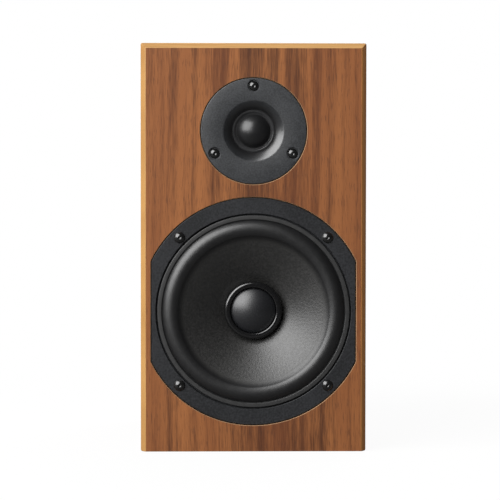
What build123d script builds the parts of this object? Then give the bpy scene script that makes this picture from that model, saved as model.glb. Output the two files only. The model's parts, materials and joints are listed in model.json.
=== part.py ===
from build123d import *
import os
from math import asin, cos, radians, sin, sqrt, tan

# Two-way bookshelf speaker, in millimetres. The front faces -Y, +X is to the viewer's right and +Z is
# up. The origin is under the middle of the whole object, on the surface that it stands on.
# Depths are measured from the front face of the baffle towards the back, unless a comment says more.

# Cabinet
CABINET_DEPTH = 240.0
SIDE_MARGIN = 8.3  # wood beside each flat of the woofer flange
BASE_MARGIN = 20.7  # wood below the woofer flange
DRIVER_SPACING = 10.7  # wood between the woofer flange and the tweeter plate
TOP_MARGIN = 27.0  # wood above the tweeter plate
BAFFLE_THICKNESS = 20.0
WALL_THICKNESS = 12.0
REAR_THICKNESS = 15.0
EDGING_LEG = 4.0  # each leg of the three-sided edging, set in a square rabbet
SHEET_THICKNESS = 12.0  # damping sheets on the side and top walls
SHEET_MARGIN = 24.0  # bare wall left round a damping sheet

# Clearances
ROUTED_GAP = 0.5  # round a flush driver in its rebate
CUTOUT_GAP = 1.2  # round a driver's body in its through hole
GLUE_GAP = 0.05  # between round or tapered faces that are glued or pressed
SOFT_GAP = 0.3  # between a soft piece and the piece that moves it
HOLE_CLEARANCE = 0.3  # round a screw or a bush where it passes through
PILOT_CLEARANCE = 0.05  # round a screw where it bites
PILOT_OVERRUN = 0.8  # pilot hole past the tip of its screw
THREAD_CLEARANCE = 0.05  # radial, between a knob's thread and its stud

# Woofer cone and dust cap
CONE_RADIUS = 58.6
CONE_EDGE_DEPTH = 0.6
CONE_ANGLE = 28.0  # slope of a straight line down the cone's face, from the baffle plane
CONE_BULGE = 1.4  # how far the face swells from that line
CONE_THICKNESS = 0.9
CAP_RADIUS = 17.4
CAP_RISE = 6.0
CAP_THICKNESS = 0.8
CAP_DROP = 2.6  # rim of the cap behind the front of the ring
RING_GAP = 0.5  # dark groove between the cap and the ring
RING_WIDTH = 4.7
RING_RISE = 7.0  # front of the ring above the cone at the ring's outer edge
RING_ROUND = 2.0

# Woofer surround
ROLL_WIDTH = 12.6
ROLL_RISE = 3.8  # crest of the roll in front of its outer foot
CREST_SHIFT = 0.7  # crest inside the middle of the roll's width
ROLL_OVERLAP = 0.4  # foot of the roll inside the cone's edge
RUBBER_THICKNESS = 0.9
INNER_LIP_WIDTH = 3.5
INNER_LIP_THICKNESS = 0.6
GROOVE_WIDTH = 0.9
GROOVE_DEPTH = 0.8
LIP_WIDTH = 3.2
LIP_THICKNESS = 1.3
LIP_SEAT_DEPTH = 1.7
MOUTH_GROOVE = 1.0  # open groove between the lip and the flange
MOUTH_GROOVE_DEPTH = 3.6

# Woofer frame
FLANGE_WIDTH = 12.4
FLANGE_THICKNESS = 5.0
FLAT_DEPTH = 9.1  # how much each side flat takes off the round flange
FLANGE_CORNER = 4.0
FLANGE_EASE = 0.5
MOUTH_EASE = 0.4
SEAT_INSET = 0.4  # ledge inside the surround's outer foot
BASKET_WALL = 2.6
SHOULDER_LENGTH = 3.0
WINDOW_COUNT = 6
WINDOW_ANGLE = 42.0
WINDOW_MARGIN = 2.0
SPIDER_SETBACK = 12.0  # spider behind the cone's neck
SPIDER_RADIUS = 48.0
SPIDER_THICKNESS = 0.7
SPIDER_LEDGE = 5.0
SPIDER_COLLAR = 2.5  # flat edge of the spider round the voice-coil former
SPIDER_WAVES = 5
SPIDER_WAVE_HEIGHT = 1.6
SPIDER_SEAT_THICKNESS = 3.0
MOTOR_SETBACK = 13.5  # motor behind the spider's seat
BASE_THICKNESS = 3.5
BASE_RELIEF = 3.0  # hole in the frame's base, beyond the hole in the top plate

# Woofer motor
FORMER_RADIUS = 16.0
FORMER_THICKNESS = 0.3
WINDING_THICKNESS = 0.7
WINDING_LENGTH = 14.0
POLE_GAP = 0.5
PLATE_GAP = 0.6
MAGNET_GAP = 6.0  # ring magnet's hole beyond the hole in the top plate
TOP_PLATE_RADIUS = 42.0
TOP_PLATE_THICKNESS = 5.0
MAGNET_RADIUS = 45.0
MAGNET_THICKNESS = 17.0
YOKE_THICKNESS = 5.5
VENT_RADIUS = 5.0

# Driver terminals
STRIP_THICKNESS = 2.0
STRIP_DEPTH = 10.0
STRIP_WIDTH = 34.0
STRIP_BOSS_RISE = 2.4
STRIP_BOSS_WIDTH = 14.0
LUG_WIDTH = 4.8
LUG_THICKNESS = 0.8
LUG_LENGTH = 11.0
WOOFER_LUG_SPACING = 22.0
TWEETER_LUG_SPACING = 10.0
TWEETER_STRIP_WIDTH = 22.0
TINSEL_RADIUS = 0.6
TINSEL_JOIN_RADIUS = 34.0  # where the tinsel leads reach the back of the cone

# Tweeter
DOME_RADIUS = 12.8
DOME_RISE = 7.6
DOME_THICKNESS = 0.4
DOME_ROLL_WIDTH = 3.5
DOME_ROLL_RISE = 1.1
DOME_ROLL_THICKNESS = 0.4
ROLL_FOOT_DROP = 0.4  # foot of the roll behind the clamped face of its lip
THROAT_GAP = 0.3
THROAT_LIP = 0.8
DISH_WIDTH = 6.5
DISH_DEPTH = 4.8
DISH_BULGE = 0.3  # how far the flare of the dish swells from a straight cone
PLATE_DIP = 0.4  # rim of the dish behind the face
DIP_WIDTH = 9.0  # part of the face that bends down to the dish
PLATE_RIM = 17.6
PLATE_THICKNESS = 4.0
PLATE_EASE = 0.4
CLAMP_WIDTH = 7.4  # clamped lip of the dome's surround
CLAMP_THICKNESS = 1.2
COLLAR_WIDTH = 3.4
DOME_FORMER_THICKNESS = 0.3
DOME_FORMER_LENGTH = 7.0
DOME_WINDING_THICKNESS = 0.5
DOME_WINDING_LENGTH = 3.0
DOME_GAP = 0.4  # free space on each side of the tweeter coil
DOME_PLATE_THICKNESS = 4.0
DOME_MAGNET_GAP = 3.4
DOME_MAGNET_STEP = 1.0  # magnet's edge beyond the plate and the yoke
DOME_MAGNET_THICKNESS = 8.0
DOME_YOKE_THICKNESS = 4.0

# Driver gaskets and screws
WOOFER_GASKET_THICKNESS = 1.0
TWEETER_GASKET_THICKNESS = 0.8
GASKET_INSET = 0.6
WOOFER_SCREW_COUNT = 4
WOOFER_SCREW_TURN = 45.0  # first screw's angle round the driver
WOOFER_SCREW_INSET = 7.1  # from the flange's round edge
WOOFER_SCREW_RADIUS = 2.1
WOOFER_SCREW_BITE = 12.0
WOOFER_HEAD_RADIUS = 4.3
WOOFER_HEAD_HEIGHT = 2.5
TWEETER_SCREW_COUNT = 3
TWEETER_SCREW_TURN = 90.0
TWEETER_SCREW_INSET = 6.1  # from the plate's edge
TWEETER_SCREW_RADIUS = 1.75
TWEETER_SCREW_BITE = 11.0
TWEETER_HEAD_RADIUS = 3.8
TWEETER_HEAD_HEIGHT = 2.2
COUNTERBORE_GAP = 0.85
COUNTERBORE_DEPTH = 1.4
HEAD_EDGE = 0.4  # upright edge of a domed head
SOCKET_FLATS = 2.5
SOCKET_DEPTH = 1.5

# Reflex port and terminal cup, on the back
REAR_TRIM_THICKNESS = 3.0
PORT_DROP = 82.0  # port axis below the top of the cabinet
PORT_BORE_RADIUS = 19.0
PORT_WALL = 2.5
PORT_FLARE = 12.0
PORT_RIM = 3.0
PORT_LENGTH = 110.0
TERMINAL_HEIGHT = 72.0
CUP_WIDTH = 64.0
CUP_HEIGHT = 40.0
CUP_DEPTH = 24.0
CUP_CORNER = 5.0
CUP_WALL = 2.5
CUP_FLANGE = 12.0
CUP_FLOOR = 3.0
CUP_SCREW_RADIUS = 1.6
CUP_SCREW_BITE = 10.0
CUP_HEAD_RADIUS = 3.4
CUP_HEAD_HEIGHT = 1.9
CROSS_LENGTH = 3.2  # crossed slots in the heads of the cup's screws
CROSS_WIDTH = 0.8
CROSS_DEPTH = 0.8

# Binding posts, measured from the floor of the cup outwards
POST_SPACING = 19.05
STUD_RADIUS = 3.0
STUD_COLLAR_RADIUS = 4.6
STUD_COLLAR = 1.5
STUD_LENGTH = 17.5  # from the front of its collar to its tip
STUD_TAIL = 3.0  # stud past its nut, inside the cabinet
PLUG_BORE_RADIUS = 2.05
PLUG_BORE_DEPTH = 13.5
WIRE_HOLE_RADIUS = 1.4
WIRE_HOLE_OFFSET = 2.0
BUSH_RADIUS = 5.6
BUSH_RIM = 2.0
BUSH_NECK_RADIUS = 4.4
WASHER_RADIUS = 5.6
WASHER_THICKNESS = 1.2
KNOB_RADIUS = 6.5
KNOB_BASE = 2.4
KNOB_END_GAP = 0.2
KNOB_END_WALL = 1.2
KNOB_HOLE_RADIUS = 2.6
FLUTE_COUNT = 14
FLUTE_RADIUS = 0.9
FLUTE_DEPTH = 0.5
TAG_RADIUS = 5.2
TAG_THICKNESS = 0.8
TAG_WIDTH = 4.0
TAG_LENGTH = 14.0
NUT_FLATS = 10.0
NUT_THICKNESS = 4.5

# Crossover, on the bottom panel behind the woofer
BOARD_WIDTH = 120.0
BOARD_DEPTH = 92.0
BOARD_THICKNESS = 1.6
BOARD_SETBACK = 12.0  # board in front of the rear panel
STANDOFF_HEIGHT = 8.0
STANDOFF_RADIUS = 3.5
STANDOFF_INSET = 6.0
BOARD_SCREW_RADIUS = 1.5
BOARD_SCREW_BITE = 7.0
BOARD_HEAD_RADIUS = 2.8
BOARD_HEAD_HEIGHT = 2.0
BOBBIN_FLANGE = 2.0
WINDING_INSET = 1.5  # winding inside the edge of its bobbin
LARGE_COIL_RADIUS = 24.0
LARGE_COIL_CORE = 11.0
LARGE_COIL_HEIGHT = 24.0
SMALL_COIL_RADIUS = 15.0
SMALL_COIL_CORE = 6.0
SMALL_COIL_HEIGHT = 16.0
LARGE_CAPACITOR_RADIUS = 9.0
LARGE_CAPACITOR_LENGTH = 32.0
SMALL_CAPACITOR_RADIUS = 7.0
SMALL_CAPACITOR_LENGTH = 28.0
RESISTOR_COUNT = 2
RESISTOR_LENGTH = 22.0
RESISTOR_WIDTH = 9.0
COMPONENT_GAP = 3.0
PAD_ROW = 8.0  # front strip of the board, kept for the output leads

# Leads inside the cabinet
LEAD_RADIUS = 1.2
LEAD_BEND = 0.45  # share of the shorter run that a bend may use
SOLDER_LAP = 5.0  # lead beside the tail of its solder tag
INPUT_PAD_INSET = 8.0  # from the rear edge of the board
OUTPUT_PAD_INSET = 4.0  # from the front edge of the board

# Woofer radii and depths that follow from the sizes above
CONE_SLOPE = tan(radians(CONE_ANGLE))
ROLL_INNER = CONE_RADIUS - ROLL_OVERLAP
ROLL_OUTER = ROLL_INNER + ROLL_WIDTH
LIP_INNER = ROLL_OUTER + GROOVE_WIDTH
LIP_OUTER = LIP_INNER + LIP_WIDTH
LIP_FRONT = LIP_SEAT_DEPTH - LIP_THICKNESS
FOOT_DEPTH = LIP_FRONT + GROOVE_DEPTH
MOUTH_RADIUS = LIP_OUTER + MOUTH_GROOVE
ROLL_CREST = (ROLL_INNER + ROLL_OUTER) / 2 - CREST_SHIFT
ROLL_ARC = ((ROLL_OUTER - ROLL_CREST) ** 2 + ROLL_RISE**2) / (2 * ROLL_RISE)  # radius of its section
FLANGE_RADIUS = MOUTH_RADIUS + FLANGE_WIDTH
FLANGE_HALF_WIDTH = FLANGE_RADIUS - FLAT_DEPTH
BASKET_INNER = ROLL_OUTER - SEAT_INSET
BASKET_RADIUS = BASKET_INNER + BASKET_WALL
FORMER_OUTER = FORMER_RADIUS + FORMER_THICKNESS
NECK_RADIUS = FORMER_OUTER + GLUE_GAP
WINDING_OUTER = FORMER_OUTER + GLUE_GAP + WINDING_THICKNESS
PLATE_HOLE = WINDING_OUTER + PLATE_GAP
POLE_RADIUS = FORMER_RADIUS - POLE_GAP
NECK_DEPTH = CONE_EDGE_DEPTH + (CONE_RADIUS - NECK_RADIUS) * CONE_SLOPE
SPIDER_DEPTH = NECK_DEPTH + SPIDER_SETBACK
CUP_INNER = SPIDER_RADIUS + SOFT_GAP
CUP_RADIUS = CUP_INNER + BASKET_WALL
SPIDER_SEAT_BACK = SPIDER_DEPTH + SPIDER_SEAT_THICKNESS
MOTOR_DEPTH = SPIDER_SEAT_BACK + MOTOR_SETBACK
MAGNET_DEPTH = MOTOR_DEPTH + TOP_PLATE_THICKNESS
YOKE_DEPTH = MAGNET_DEPTH + MAGNET_THICKNESS
STRIP_SEAT = CUP_RADIUS + STRIP_BOSS_RISE
STRIP_FRONT = MOTOR_DEPTH - BASE_THICKNESS - STRIP_DEPTH
CAP_SEAT = CAP_RADIUS - CAP_THICKNESS
RING_INNER = CAP_RADIUS + RING_GAP
RING_OUTER = RING_INNER + RING_WIDTH
WOOFER_REBATE = FLANGE_THICKNESS + WOOFER_GASKET_THICKNESS
WOOFER_CUTOUT = BASKET_RADIUS + CUTOUT_GAP
WOOFER_SCREW_CIRCLE = FLANGE_RADIUS - WOOFER_SCREW_INSET

# Tweeter radii and depths
DOME_ROLL_INNER = DOME_RADIUS + SOFT_GAP
DOME_ROLL_OUTER = DOME_ROLL_INNER + DOME_ROLL_WIDTH
THROAT_RADIUS = DOME_ROLL_OUTER + THROAT_GAP
DISH_RADIUS = THROAT_RADIUS + DISH_WIDTH
DIP_RADIUS = DISH_RADIUS + DIP_WIDTH
PLATE_RADIUS = DISH_RADIUS + PLATE_RIM
CLAMP_DEPTH = DISH_DEPTH + THROAT_LIP
CLAMP_RADIUS = THROAT_RADIUS + CLAMP_WIDTH
COLLAR_INNER = CLAMP_RADIUS + GLUE_GAP
COLLAR_RADIUS = COLLAR_INNER + COLLAR_WIDTH
DOME_FOOT = CLAMP_DEPTH + ROLL_FOOT_DROP
DOME_PLATE_DEPTH = CLAMP_DEPTH + CLAMP_THICKNESS
DOME_MAGNET_DEPTH = DOME_PLATE_DEPTH + DOME_PLATE_THICKNESS
DOME_YOKE_DEPTH = DOME_MAGNET_DEPTH + DOME_MAGNET_THICKNESS
DOME_STRIP_DEPTH = DOME_YOKE_DEPTH + DOME_YOKE_THICKNESS
DOME_FORMER_OUTER = DOME_RADIUS - DOME_THICKNESS - GLUE_GAP
DOME_WINDING_OUTER = DOME_FORMER_OUTER + GLUE_GAP + DOME_WINDING_THICKNESS
DOME_PLATE_HOLE = DOME_WINDING_OUTER + DOME_GAP
DOME_POLE_RADIUS = DOME_FORMER_OUTER - DOME_FORMER_THICKNESS - DOME_GAP
DOME_MAGNET_RADIUS = COLLAR_RADIUS + DOME_MAGNET_STEP
TWEETER_REBATE = PLATE_THICKNESS + TWEETER_GASKET_THICKNESS
TWEETER_CUTOUT = DOME_MAGNET_RADIUS + CUTOUT_GAP
TWEETER_SCREW_CIRCLE = PLATE_RADIUS - TWEETER_SCREW_INSET

# The whole object
CABINET_WIDTH = 2 * (FLANGE_HALF_WIDTH + SIDE_MARGIN)
WOOFER_HEIGHT = BASE_MARGIN + FLANGE_RADIUS
TWEETER_HEIGHT = WOOFER_HEIGHT + FLANGE_RADIUS + DRIVER_SPACING + PLATE_RADIUS
CABINET_HEIGHT = TWEETER_HEIGHT + PLATE_RADIUS + TOP_MARGIN
PORT_HEIGHT = CABINET_HEIGHT - PORT_DROP
ROLL_REACH = ROLL_RISE - FOOT_DEPTH  # how far the surround stands out in front
FRONT_Y = (ROLL_REACH - CABINET_DEPTH - REAR_TRIM_THICKNESS) / 2
BACK_Y = FRONT_Y + CABINET_DEPTH
HALF_WIDTH = CABINET_WIDTH / 2
INNER_HALF_WIDTH = HALF_WIDTH - WALL_THICKNESS

# The back, the posts and the crossover
PORT_FLARE_RADIUS = PORT_BORE_RADIUS + PORT_FLARE
PORT_NECK = PORT_FLARE_RADIUS - sqrt(PORT_FLARE**2 - (PORT_FLARE - REAR_TRIM_THICKNESS) ** 2) + PORT_WALL
CUP_SCREW_X = (CUP_WIDTH + CUP_FLANGE) / 2
CUP_SCREW_Z = (CUP_HEIGHT + CUP_FLANGE) / 2
FLOOR_DEPTH = CABINET_DEPTH + REAR_TRIM_THICKNESS - CUP_DEPTH
COLLAR_TOP = BUSH_RIM + STUD_COLLAR
STUD_TIP = COLLAR_TOP + STUD_LENGTH
KNOB_START = COLLAR_TOP + WASHER_THICKNESS
KNOB_END = STUD_TIP + KNOB_END_GAP + KNOB_END_WALL
NUT_FRONT = CUP_FLOOR + TAG_THICKNESS
BOARD_REAR = BACK_Y - REAR_THICKNESS - BOARD_SETBACK
BOARD_Y = BOARD_REAR - BOARD_DEPTH / 2
BOARD_TOP = WALL_THICKNESS + STANDOFF_HEIGHT + BOARD_THICKNESS
COLUMN_EDGE = BOARD_WIDTH / 2 - 2 * STANDOFF_INSET  # components keep inside the rows of screws
COMPONENT_FRONT = BOARD_REAR - BOARD_DEPTH + PAD_ROW
COMPONENT_REAR = BOARD_REAR - COMPONENT_GAP
# Each inductor's place, bobbin radius, core radius and height
INDUCTORS = [
    (
        LARGE_COIL_RADIUS - COLUMN_EDGE,
        COMPONENT_FRONT + LARGE_COIL_RADIUS,
        LARGE_COIL_RADIUS,
        LARGE_COIL_CORE,
        LARGE_COIL_HEIGHT,
    ),
    (
        COLUMN_EDGE - SMALL_COIL_RADIUS,
        COMPONENT_REAR - SMALL_COIL_RADIUS,
        SMALL_COIL_RADIUS,
        SMALL_COIL_CORE,
        SMALL_COIL_HEIGHT,
    ),
]
# Each capacitor's place, radius and length
CAPACITORS = [
    (
        COLUMN_EDGE - LARGE_CAPACITOR_LENGTH / 2,
        COMPONENT_FRONT + LARGE_CAPACITOR_RADIUS,
        LARGE_CAPACITOR_RADIUS,
        LARGE_CAPACITOR_LENGTH,
    ),
    (
        COLUMN_EDGE - SMALL_CAPACITOR_LENGTH / 2,
        COMPONENT_FRONT + 2 * LARGE_CAPACITOR_RADIUS + COMPONENT_GAP + SMALL_CAPACITOR_RADIUS,
        SMALL_CAPACITOR_RADIUS,
        SMALL_CAPACITOR_LENGTH,
    ),
]


def facing_back(x, depth, height):
    """Place whose local +Z runs to the back of the cabinet and whose local -Y points up."""
    return Location(Plane(origin=(x, FRONT_Y + depth, height), x_dir=(1, 0, 0), z_dir=(0, 1, 0)))


def on_woofer(shape):
    """Move a shape drawn about the woofer's axis to its place."""
    return facing_back(0, 0, WOOFER_HEIGHT) * shape


def on_tweeter(shape):
    """Move a shape drawn about the tweeter's axis to its place."""
    return facing_back(0, 0, TWEETER_HEIGHT) * shape


def on_cup(shape):
    """Move a shape drawn about the terminal cup, with the cabinet's back at local zero."""
    return facing_back(0, CABINET_DEPTH, TERMINAL_HEIGHT) * shape


def on_post(shape, side):
    """Move a shape drawn from the cup's floor outwards to the left (-1) or right (1) post."""
    return facing_back(side * POST_SPACING / 2, FLOOR_DEPTH, TERMINAL_HEIGHT) * shape


def block(x, y, z):
    """Box between pairs of limits along X, Y and Z."""
    centre = Pos((x[0] + x[1]) / 2, (y[0] + y[1]) / 2, (z[0] + z[1]) / 2)
    return centre * Box(x[1] - x[0], y[1] - y[0], z[1] - z[0])


def disc(radius, start, end):
    """Cylinder about local Z between two depths."""
    return Pos(0, 0, start) * Cylinder(radius, end - start, align=(Align.CENTER, Align.CENTER, Align.MIN))


def ring(inner, outer, start, end):
    """Flat ring about local Z between two depths."""
    return disc(outer, start, end) - disc(inner, start, end)


def turned(*curves):
    """Solid of revolution about local Z of a closed outline in (radius, depth)."""
    edges = [edge for curve in curves for edge in curve.edges()]
    return revolve(Plane.XZ * make_face(edges), Axis.Z)


def dome_arc(radius, apex, rim):
    """Arc in (radius, depth) from the rim of a round cap to its apex on the axis."""
    rise = abs(rim - apex)
    sphere = (radius**2 + rise**2) / (2 * rise)
    half = asin(min(1, radius / sphere)) / 2
    towards_rim = 1 if rim > apex else -1
    middle = (sphere * sin(half), apex + towards_rim * sphere * (1 - cos(half)))
    return ThreePointArc((radius, rim), middle, (0, apex))


def around(count, radius, first):
    """Places evenly round a driver's axis; angles run anticlockwise as the viewer sees them."""
    turns = [radians(first + 360 * index / count) for index in range(count)]
    return [Pos(radius * cos(turn), -radius * sin(turn), 0) for turn in turns]


WOOFER_SCREW_PLACES = around(WOOFER_SCREW_COUNT, WOOFER_SCREW_CIRCLE, WOOFER_SCREW_TURN)
TWEETER_SCREW_PLACES = around(TWEETER_SCREW_COUNT, TWEETER_SCREW_CIRCLE, TWEETER_SCREW_TURN)
CUP_SCREW_PLACES = [Pos(x * CUP_SCREW_X, z * CUP_SCREW_Z, 0) for x in (-1, 1) for z in (-1, 1)]
STANDOFF_PLACES = [
    Pos(x * (BOARD_WIDTH / 2 - STANDOFF_INSET), BOARD_Y + y * (BOARD_DEPTH / 2 - STANDOFF_INSET), 0)
    for x in (-1, 1)
    for y in (-1, 1)
]


def flange_outline(offset):
    """Round outline of the woofer flange with its two flats, grown by an offset."""
    outline = Circle(FLANGE_RADIUS + offset) & Rectangle(2 * (FLANGE_HALF_WIDTH + offset), 4 * FLANGE_RADIUS)
    return fillet(outline.vertices(), FLANGE_CORNER + offset)


def domed_screw(head_radius, head_height, shank_radius, length):
    """Domed socket screw driven along local +Z, with the seat of its head at local zero."""
    head = turned(
        dome_arc(head_radius, -head_height, -HEAD_EDGE),
        Polyline((0, -head_height), (0, 0), (head_radius, 0), (head_radius, -HEAD_EDGE)),
    )
    hexagon = RegularPolygon(SOCKET_FLATS / 2, 6, major_radius=False)
    socket = Pos(0, 0, -head_height) * extrude(hexagon, SOCKET_DEPTH)
    return head + disc(shank_radius, 0, length) - socket


def lead(points, radius):
    """Round wire along straight runs, with a bend at each inner point as large as its runs allow."""
    places = [Vector(*point) for point in points]
    runs = [end - start for start, end in zip(places, places[1:])]
    bends = [
        LEAD_BEND * min(before.length, after.length) / tan(radians(before.get_angle(after)) / 2)
        for before, after in zip(runs, runs[1:])
    ]
    print("lead bends", [round(bend, 1) for bend in bends])
    path = FilletPolyline(*points, radius=bends)
    return sweep(Plane(origin=path @ 0, z_dir=path % 0) * Circle(radius), path=path)


# Cabinet


def front_baffle():
    """Front panel with the rabbets for its edging and a stepped opening for each driver."""
    panel = block((-HALF_WIDTH, HALF_WIDTH), (FRONT_Y, FRONT_Y + BAFFLE_THICKNESS), (0, CABINET_HEIGHT))
    rabbet = (FRONT_Y, FRONT_Y + EDGING_LEG)
    for side in (-1, 1):
        limits = sorted((side * HALF_WIDTH, side * (HALF_WIDTH - EDGING_LEG)))
        panel -= block(limits, rabbet, (0, CABINET_HEIGHT))
    panel -= block((-HALF_WIDTH, HALF_WIDTH), rabbet, (CABINET_HEIGHT - EDGING_LEG, CABINET_HEIGHT))
    panel -= on_woofer(extrude(flange_outline(ROUTED_GAP), WOOFER_REBATE))
    panel -= on_woofer(disc(WOOFER_CUTOUT, 0, BAFFLE_THICKNESS))
    panel -= on_tweeter(disc(PLATE_RADIUS + ROUTED_GAP, 0, TWEETER_REBATE))
    panel -= on_tweeter(disc(TWEETER_CUTOUT, 0, BAFFLE_THICKNESS))
    for place in WOOFER_SCREW_PLACES:
        pilot = disc(
            WOOFER_SCREW_RADIUS + PILOT_CLEARANCE,
            WOOFER_REBATE,
            WOOFER_REBATE + WOOFER_SCREW_BITE + PILOT_OVERRUN,
        )
        panel -= on_woofer(place * pilot)
    for place in TWEETER_SCREW_PLACES:
        pilot = disc(
            TWEETER_SCREW_RADIUS + PILOT_CLEARANCE,
            TWEETER_REBATE,
            TWEETER_REBATE + TWEETER_SCREW_BITE + PILOT_OVERRUN,
        )
        panel -= on_tweeter(place * pilot)
    return panel


def mitre(side):
    """Plane of the mitre at the top left (-1) or top right (1) corner, facing the top edging."""
    return Plane(origin=(side * HALF_WIDTH, FRONT_Y, CABINET_HEIGHT), z_dir=(-side, 0, 1))


def left_edging():
    """Three-sided strip up the left edge, mitred at the top."""
    outer, inner = -HALF_WIDTH, -HALF_WIDTH + EDGING_LEG
    section = Polygon(
        (outer, FRONT_Y + EDGING_LEG), (inner, FRONT_Y), (inner, FRONT_Y + EDGING_LEG), align=None
    )
    return split(extrude(section, CABINET_HEIGHT), bisect_by=mitre(-1), keep=Keep.BOTTOM)


def top_edging():
    """Three-sided strip along the top edge, mitred at both ends."""
    low = CABINET_HEIGHT - EDGING_LEG
    section = Plane.YZ * Polygon(
        (FRONT_Y + EDGING_LEG, CABINET_HEIGHT), (FRONT_Y, low), (FRONT_Y + EDGING_LEG, low), align=None
    )
    strip = extrude(section, HALF_WIDTH, both=True)
    for side in (-1, 1):
        strip = split(strip, bisect_by=mitre(side), keep=Keep.TOP)
    return strip


def wall(*outline):
    """Panel of the wrap behind the baffle, from its outline seen from the front."""
    back = Plane(origin=(0, BACK_Y, 0), x_dir=(1, 0, 0), z_dir=(0, -1, 0))
    return extrude(back * Polygon(*outline, align=None), CABINET_DEPTH - BAFFLE_THICKNESS)


def left_side_panel():
    """Left wall, mitred to the top and bottom panels."""
    return wall(
        (-HALF_WIDTH, 0),
        (-INNER_HALF_WIDTH, WALL_THICKNESS),
        (-INNER_HALF_WIDTH, CABINET_HEIGHT - WALL_THICKNESS),
        (-HALF_WIDTH, CABINET_HEIGHT),
    )


def top_panel():
    """Top wall, mitred to both sides."""
    low = CABINET_HEIGHT - WALL_THICKNESS
    return wall(
        (-HALF_WIDTH, CABINET_HEIGHT),
        (-INNER_HALF_WIDTH, low),
        (INNER_HALF_WIDTH, low),
        (HALF_WIDTH, CABINET_HEIGHT),
    )


def bottom_panel():
    """Bottom wall, mitred to both sides, with pilot holes for the crossover's screws."""
    panel = wall(
        (-HALF_WIDTH, 0),
        (HALF_WIDTH, 0),
        (INNER_HALF_WIDTH, WALL_THICKNESS),
        (-INNER_HALF_WIDTH, WALL_THICKNESS),
    )
    pilot = disc(
        BOARD_SCREW_RADIUS + PILOT_CLEARANCE,
        WALL_THICKNESS - BOARD_SCREW_BITE - PILOT_OVERRUN,
        WALL_THICKNESS,
    )
    for place in STANDOFF_PLACES:
        panel -= place * pilot
    return panel


def cup_body(offset):
    """Rounded outline of the terminal cup's body, grown by an offset."""
    grown = CUP_WALL + offset
    return RectangleRounded(CUP_WIDTH + 2 * grown, CUP_HEIGHT + 2 * grown, CUP_CORNER + grown)


def rear_panel():
    """Back panel set inside the wrap, open for the port and the terminal cup."""
    panel = block(
        (-INNER_HALF_WIDTH, INNER_HALF_WIDTH),
        (BACK_Y - REAR_THICKNESS, BACK_Y),
        (WALL_THICKNESS, CABINET_HEIGHT - WALL_THICKNESS),
    )
    hole = disc(PORT_NECK + HOLE_CLEARANCE, -REAR_THICKNESS, 0)
    panel -= facing_back(0, CABINET_DEPTH, PORT_HEIGHT) * hole
    panel -= on_cup(extrude(cup_body(HOLE_CLEARANCE), -REAR_THICKNESS))
    pilot = disc(CUP_SCREW_RADIUS + PILOT_CLEARANCE, -CUP_SCREW_BITE - PILOT_OVERRUN, 0)
    for place in CUP_SCREW_PLACES:
        panel -= on_cup(place * pilot)
    return panel


def damping_sheets():
    """Soft sheets on the two side walls and under the top panel, clear of the drivers."""
    along = (FRONT_Y + YOKE_DEPTH + YOKE_THICKNESS, BACK_Y - REAR_THICKNESS - SHEET_MARGIN)
    top = CABINET_HEIGHT - WALL_THICKNESS
    sheets = []
    for side in (-1, 1):
        across = sorted((side * INNER_HALF_WIDTH, side * (INNER_HALF_WIDTH - SHEET_THICKNESS)))
        sheets.append(block(across, along, (WALL_THICKNESS + SHEET_MARGIN, top - SHEET_MARGIN)))
    half = INNER_HALF_WIDTH - SHEET_MARGIN
    sheets.append(block((-half, half), along, (top - SHEET_THICKNESS, top)))
    return Compound(sheets)


# Woofer


def cone_depth(radius):
    """Depth of the cone's front face at a radius, on an arc from its edge to its neck."""
    angle = radians(CONE_ANGLE)
    half = (CONE_RADIUS - NECK_RADIUS) / cos(angle) / 2
    bend = (half**2 + CONE_BULGE**2) / (2 * CONE_BULGE)
    centre_radius = (CONE_RADIUS + NECK_RADIUS) / 2 + (bend - CONE_BULGE) * sin(angle)
    centre_depth = (CONE_EDGE_DEPTH + NECK_DEPTH) / 2 + (bend - CONE_BULGE) * cos(angle)
    return centre_depth - sqrt(bend**2 - (radius - centre_radius) ** 2)


def basket_windows(start, end, inner, outer):
    """Cutters for the openings between the frame's legs, in one ring of depths."""
    section = Plane.XZ * Polygon((inner, start), (outer, start), (outer, end), (inner, end), align=None)
    wedge = revolve(section, Axis.Z, WINDOW_ANGLE)
    first = 270 - WINDOW_ANGLE / 2
    return [Rot(0, 0, first + 360 * index / WINDOW_COUNT) * wedge for index in range(WINDOW_COUNT)]


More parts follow.
